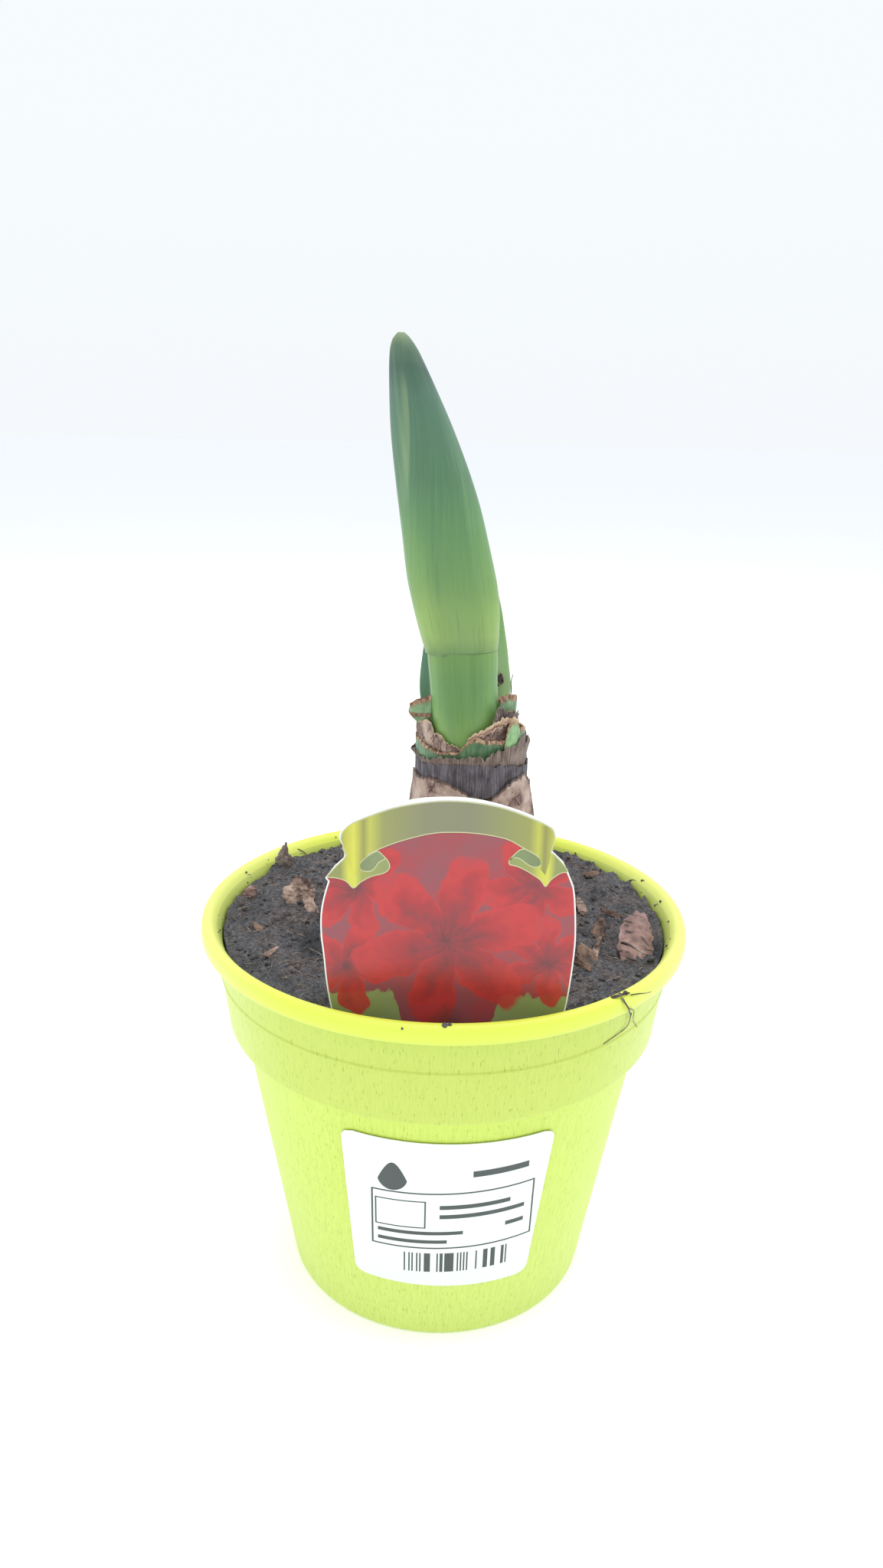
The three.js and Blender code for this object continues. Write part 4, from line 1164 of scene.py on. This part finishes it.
label_outline = round_off(LABEL_TOP) + LABEL_RIGHT + round_off(LABEL_RIGHT_SIDE) + LABEL_STAKE
label_outline += round_off(LABEL_LEFT_SIDE) + LABEL_LEFT
label_front = LABEL_Y - LABEL_THICK / 2
label = die_cut("label_sheet", label_outline, label_front, LABEL_THICK, WHITE_EDGE)

white_plastic = Finish("white label plastic", Roughness=0.32)
edge_cloud = white_plastic.grain(white_plastic.point(), 3.0)
white_plastic.feed("Base Color", white_plastic.mix(edge_cloud, "e9ebe6", "f4f5f1"))
white_plastic.bump(edge_cloud, 0.02)

picture_print = Finish("printed petals", Roughness=0.34)
print_x, print_z = picture_print.place("XZ")
field = picture_print.join(print_x, print_z)
sway_x = (picture_print.grain(field, 7.0, detail=2) - 0.5) * 5.0
sway_z = (picture_print.grain(picture_print.join(print_z, print_x, 7.0), 6.0, detail=2) - 0.5) * 5.0
haze = picture_print.grain(field, 11, detail=2)
shreds = picture_print.grain(field, 2.0, detail=4)
from_middle = abs(print_x - 1)

picture = picture_print.mix(haze.step(0.35, 0.65), "a6454a", "945057")
leafy = (print_z + (shreds - 0.5) * 5 - (97 + from_middle.step(9, 13) * 10)).step(0.4, -0.4)
picture = picture_print.mix(leafy, picture, picture_print.mix(haze, "7f9158", "a3ad72"))
for flower in FLOWERS:
    inside, out, fold = petals(*flower)
    tone = out * 0.52 + fold * 0.18 + (shreds - 0.5) * 0.3 + (haze - 0.5) * 0.5 + 0.06
    picture = picture_print.mix(inside * 0.92, picture, picture_print.ramp(tone, *PETAL_REDS))
low_shade = (print_z + shreds * 5 + from_middle * 0.9).step(109, 103)
picture = picture_print.mix(low_shade * 0.7, picture, "6f4038")
above_ribbon = (print_z + (print_x - 0.5) * (print_x - 0.5) * 0.0145) > 150.2
picture_print.feed("Base Color", picture_print.mix(above_ribbon, picture, "f0f1ec"))
picture_print.bump(picture_print.grain(field, 1.5), 0.02)
print_face(label, picture_print, white_plastic, "label", "picture_label")

ribbon_edge = Finish("ribbon outline print", Roughness=0.34)
rim_x, rim_z = ribbon_edge.place("XZ")
rim_cloud = ribbon_edge.grain(ribbon_edge.join(rim_x, rim_z), 2.0)
ribbon_edge.feed("Base Color", ribbon_edge.mix(rim_cloud, "bfbf8e", "cccb9c"))

band_print = ribbon_finish("ribbon band print", BAND_TINTS)
left_print = ribbon_finish("left ribbon end print", LEFT_TINTS)
right_print = ribbon_finish("right ribbon end print", RIGHT_TINTS)
curl_print = ribbon_finish("ribbon back print", CURL_TINTS)
band_outline = round_off(RIBBON_TOP) + RIBBON_RIGHT + round_off(RIBBON_LOW) + RIBBON_LEFT
for name, outline, lift, ink in [
        ("ribbon_tail_left", round_off(LEFT_TAIL, closed=True), 0.03, left_print),
        ("ribbon_tail_right", round_off(RIGHT_TAIL, closed=True), 0.03, right_print),
        ("ribbon_curl_left", round_off(LEFT_CURL, closed=True), 0.06, curl_print),
        ("ribbon_curl_right", round_off(RIGHT_CURL, closed=True), 0.06, curl_print),
        ("ribbon_band", band_outline, 0.09, band_print)]:
    layer = die_cut(name, outline, label_front - lift, PRINT_THICK, PRINT_EDGE)
    print_face(layer, ink, ribbon_edge, "label")

# The last layer is the band, whose narrow ends are printed right out to their edge.
band = layer
for face in band.data.polygons:
    if face.center.z < 141 * MM:
        face.material_index = 1


# The sticker: a square of white paper with rounded corners, stuck flat on the tapered wall, with a thin
# ruled frame, plain rules, a dark drop and generic bars printed in black.
STICKER_WIDE = 50.4
STICKER_TALL = 49.8
STICKER_CORNER = 3.0
STICKER_TURN = math.radians(2.3)
STICKER_TILT = math.radians(-0.8)
STICKER_MIDDLE = 44.0
STICKER_LIFT = 0.32
RULES = [(8.5, 23.0, 57.2, 59.2), (0.5, 18.5, 46.8, 48.2), (0.5, 22.5, 43.6, 45.0), (-15.2, 6.5, 37.9, 39.1),
         (-15.2, 2.5, 34.9, 36.1), (17.5, 22.5, 38.6, 40.0)]
BARS_PER_MM = 2.5


def pot_outside(z):
    return 42.3 + 12.26 * (z - 1.6) / 72.9


def sticker_place(u, w):
    rise = (w - 0.5) * STICKER_TALL
    half = STICKER_WIDE / 2
    from_edge = STICKER_TALL / 2 - abs(rise)
    if from_edge < STICKER_CORNER:
        dip = STICKER_CORNER - from_edge
        half -= STICKER_CORNER - math.sqrt(max(0, STICKER_CORNER ** 2 - dip ** 2))
    side = (u - 0.5) * 2 * half
    slant = rise * math.cos(STICKER_TILT) + side * math.sin(STICKER_TILT)
    side = side * math.cos(STICKER_TILT) - rise * math.sin(STICKER_TILT)
    z = STICKER_MIDDLE + slant * 0.986
    reach = pot_outside(z) + STICKER_LIFT
    turn = STICKER_TURN + side / pot_outside(STICKER_MIDDLE)
    return (reach * math.sin(turn), -reach * math.cos(turn), z)


def patch(left, right, low, high):
    """1 inside an upright oblong of the print."""
    return (tag_u > left) * (tag_u < right) * (tag_v > low) * (tag_v < high)


def outline_box(left, right, low, high, line):
    return patch(left, right, low, high) - patch(left + line, right - line, low + line, high - line)


sticker = bend_grid("paper_sticker", 72, 72, sticker_place)
thicken(sticker, 0.2)
paper = Finish("sticker paper", Roughness=0.6)
tag_x, tag_y, tag_z = paper.place()
tag_r = (tag_x * tag_x + tag_y * tag_y).calc("SQRT")
tag_u = tag_x.calc("ARCTAN2", tag_y * -1) * tag_r
tag_v = tag_z - tag_u * 0.035

ink = outline_box(-16.9, 25.1, 33.0, 52.4, 0.5) + outline_box(-15.9, -2.9, 40.2, 49.6, 0.4)
for rule in RULES:
    ink = ink + patch(*rule)
bar_number = (tag_u * BARS_PER_MM).calc("FLOOR")
bar_noise = paper.node("TexWhiteNoise", {"noise_dimensions": "1D"}, {"W": bar_number})
ink = ink + patch(-9.6, 19.2, 24.6, 31.4) * (bar_noise > 0.48)
drop_u = tag_u + 11.4
drop_v = tag_v - 57.2
slim = 1.25 + (drop_v * 0.16).calc("MAXIMUM", -0.2)
drop = (drop_u * drop_u * slim * slim + drop_v * drop_v * 0.8).calc("SQRT")
ink = (ink + (drop < 4.1)).calc("MINIMUM", 1.0)
paper_grain = paper.grain(paper.join(tag_u, tag_z), 0.4, detail=3)
paper.feed("Base Color", paper.mix(ink, paper.mix(paper_grain, "e9efed", "f2f6f4"), "4c5252"))
paper.feed("Roughness", 0.55 + paper_grain * 0.1)
paper.bump(paper_grain, 0.03)
settle(sticker, paper, "sticker", "sticker")


# The husks and bark chips: loose flakes of dry bulb skin, curled and torn as they dried, and small
# chips of bark. They lie on the peat or stand in it.
def flake(name, half, tilt, middle, seed, crown, point=0.0, thick=0.3):
    """A torn crowned flake, turned by tilt in degrees about X, Y and Z, its middle at that point."""
    about_x, about_y, about_z = [Matrix.Rotation(math.radians(angle), 3, axis)
                                 for angle, axis in zip(tilt, "XYZ")]
    turned = about_x @ about_y @ about_z

    def place(u, w):
        a = 2 * u - 1
        b = 2 * w - 1
        x = a * math.sqrt(1 - b * b / 2)
        y = b * math.sqrt(1 - a * a / 2)
        turn = math.atan2(y, x)
        edge_x = math.cos(turn) * 3
        edge_y = math.sin(turn) * 3
        torn = 1 + 0.3 * lumps(edge_x, edge_y, seed, 2.4) + 0.16 * lumps(edge_x, edge_y, seed + 4, 0.7)
        narrow = 1 - point * max(0, y) ** 0.8
        rise = crown * (1 - x * x - y * y) + 0.5 * lumps(x * 4, y * 4, seed, 1.6)
        rise += 0.22 * lumps(x * 4, y * 4, seed + 2, 0.6)
        flat = Vector((x * torn * narrow * half[0], y * torn * half[1], rise))
        return Vector(middle) + turned @ flat

    piece = bend_grid(name, 36, 44, place)
    thicken(piece, thick)
    return piece


husk_finish = paper_finish("dry husk", "bfa596", "988073", "6b5449", "2d211e", None, 0.55)
pink_husk = paper_finish("pink husk", "a88a82", "8b6d66", "66504c", "241b1b")
dark_husk = paper_finish("dark husk", "a5948b", "82736e", "5f5452", "2e2727")
bark_finish = paper_finish("bark chip", "8f7462", "6d5446", "4a382f", "241a16")
for number, (name, finish, half, tilt, crown, point) in enumerate([
        ("husk_left", husk_finish, (4.4, 5.2), (55, 8, -10), 1.3, 0.1),
        ("husk_back", dark_husk, (2.5, 4.7), (84, 0, -6), 1.2, 0.85),
        ("husk_small", pink_husk, (1.7, 2.2), (50, -20, 60), 0.5, 0.0),
        ("husk_right", pink_husk, (5.3, 9.3), (24, 14, -16), 1.0, 0.25),
        ("bark_near", bark_finish, (2.3, 4.2), (20, 10, 30), 0.6, 0.2),
        ("bark_far", bark_finish, (1.7, 4.6), (26, -10, -18), 0.6, 0.3)]):
    low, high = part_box(name)
    middle = (low + high) / 2 / MM
    loose = flake(f"loose_{name}", half, tilt, middle, 3.0 + 7 * number, crown, point)
    settle(loose, finish, name.split("_")[0], name, angle=60)

for number, (x, y, half, tilt) in enumerate([
        (39.6, -17.5, (0.8, 5.2), (14, 10, -16)), (35.0, -25.5, (1.3, 3.2), (22, -12, 38)),
        (38.6, 6.5, (1.5, 4.4), (12, 24, 6)), (46.5, 3.5, (1.0, 3.4), (10, 12, 70)),
        (-36.8, 4.5, (1.5, 3.8), (36, 12, 30)), (-49.5, -8.0, (0.9, 2.4), (8, 12, 40)),
        (-44.0, -22.0, (0.7, 2.8), (8, 10, -30)), (20.5, 45.5, (1.6, 3.6), (14, 10, 60)),
        (-16.0, 50.0, (1.2, 2.8), (12, -10, 20)), (44.0, 30.0, (1.4, 3.0), (10, 14, -50))]):
    chip_spot = (x, y, soil_height(x, y) + 0.7)
    chip = flake(f"bark_sliver_{number + 1}", half, tilt, chip_spot, 60.0 + 5 * number, 0.5, 0.15, 0.4)
    settle(chip, bark_finish if number % 2 else husk_finish, "bark", angle=60)


# The small things: rootlets that hang over the rim, hairs on the inner wall, a thread of dead leaf by
# the neck and a few crumbs on the rim. All are dry plant fibre that only clings where it fell.
THREADS = [
    ("husk_slit", 0.42, [
        (45.4, -18.6, 105.3), (47.4, -20.6, 105.6), (49.4, -22.5, 105.2), (51.2, -24.0, 104.5)]),
    ("rootlet_long", 0.2, [
        (41, -49.4, 106.5), (42.8, -50.0, 104.2), (43.9, -48.0, 101.2), (45.2, -42.0, 98),
        (44.8, -41.2, 94.4), (42.6, -43.0, 93.3), (40.3, -44.9, 92.7), (38.2, -46.6, 92.2)]),
    ("rootlet_short", 0.14, [
        (41.4, -49.2, 106.5), (43.0, -49.8, 104), (45.2, -45.2, 100.6), (46.3, -39.6, 94.9),
        (48.4, -35.9, 90.5)]),
    ("rootlet_side", 0.14, [
        (43.4, -47.8, 106.2), (45.6, -46.0, 105.6), (49.0, -42.6, 104.2), (52.4, -38.0, 103.4)]),
    ("rootlet_knot", 0.42, [
        (38.6, -49.8, 106.4), (40.2, -49.6, 106.9), (41.8, -48.6, 106.9), (43.6, -47.2, 106.5)]),
    ("rootlet_knot_low", 0.3, [
        (36.4, -50.0, 105.2), (38.4, -49.9, 106.2), (40.2, -49.0, 106.8), (41.2, -47.6, 105.6)]),
    ("hair_left", 0.2, [
        (-57.2, 23.2, 105.4), (-56.6, 22.4, 104.3), (-56.3, 22.3, 103.2), (-55.9, 21.9, 101.9)]),
    ("hair_left_fork", 0.14, [(-56.5, 22.4, 104.2), (-56.9, 21.6, 104.6), (-57.3, 20.9, 104.8)]),
    ("hair_curled", 0.18, [
        (-46.3, 41.0, 105.3), (-44.6, 41.4, 104.7), (-42.9, 42.0, 103.4), (-43.0, 41.8, 102.5),
        (-44.6, 40.2, 102.9), (-45.8, 39.6, 103.4)]),
    ("hair_curled_low", 0.15, [(-45.9, 39.8, 103.6), (-43.9, 41.4, 103.5), (-41.8, 43.2, 102.4)]),
    ("twig_right", 0.3, [(54.0, 25.0, 103.0), (55.3, 25.0, 104.1), (56.5, 23.2, 104.6), (58.0, 21.5, 105.6)]),
    ("twig_right_knob", 0.55, [(57.5, 21.9, 105.2), (58.0, 21.3, 105.5), (58.4, 20.7, 105.7)]),
    ("hair_back", 0.22, [(40.6, 44.9, 104.6), (41.0, 44.0, 103.8), (42.0, 43.0, 103.3), (42.4, 42.6, 102.2)]),
    ("neck_thread", 0.22, [
        (15.6, 2.0, 161.5), (15.7, 2.0, 163.5), (16.0, 2.0, 166.0), (15.9, 2.0, 168.5), (16.4, 2.0, 170.6)])]


def thread(name, points, thick):
    """A thin round fibre along a smooth path through points in millimetres."""
    path = round_off(points, 4)
    last = len(path) - 1

    def place(u, w):
        spot = min(int(round(w * last)), last)
        ahead = path[min(spot + 1, last)] - path[max(spot - 1, 0)]
        side = ahead.cross(Vector((0.2, 0.1, 1))).normalized()
        up = side.cross(ahead).normalized()
        slim = 0.0 if spot in (0, last) else thick * (1 - 0.6 * w)
        turn = math.tau * u
        return path[spot] + side * slim * math.cos(turn) + up * slim * math.sin(turn)

    piece = bend_grid(name, 6, last, place)
    seal(piece)
    return piece


for name, thick, points in THREADS:
    hair = thread(name, points, thick)
    settle(hair, fibre, "bulb_skin" if name == "neck_thread" else "soil", angle=60)

dry_patch = flake("leaf_dry_patch", (0.8, 1.5), (88, 0, 0), (13.3, 8.2, 167.4), 90.0, 0.15)
settle(dry_patch, shaggy, "leaf", angle=60)

deselect()
bpy.ops.mesh.primitive_ico_sphere_add(subdivisions=1, radius=1 * MM)
speck_master = bpy.context.object
specks = [(0.5, -63.6, 106.5, 0.3, 0.4, 0.75), (1.6, -63.4, 106.6, 1.3, 0.2, 0.5),
          (-8.8, -63.9, 105.6, 2.0, 0.3, 0.35), (42.4, -47.4, 106.5, 0.6, 0.3, 0.7),
          (41.0, -48.4, 106.6, 1.9, 0.2, 0.55)]
for count in range(46):
    turn = dice.uniform(0, math.tau)
    height = dice.uniform(102.5, 105.6)
    radius = pot_inside(101.6) + (height - 101.6) * 0.42 - 0.1
    size = dice.uniform(0.12, 0.42)
    specks.append((radius * math.sin(turn), -radius * math.cos(turn), height, turn, 0.3, size))
rim_specks = scatter("rim_crumbs", speck_master, specks)
settle(rim_specks, peat, "soil", angle=20)
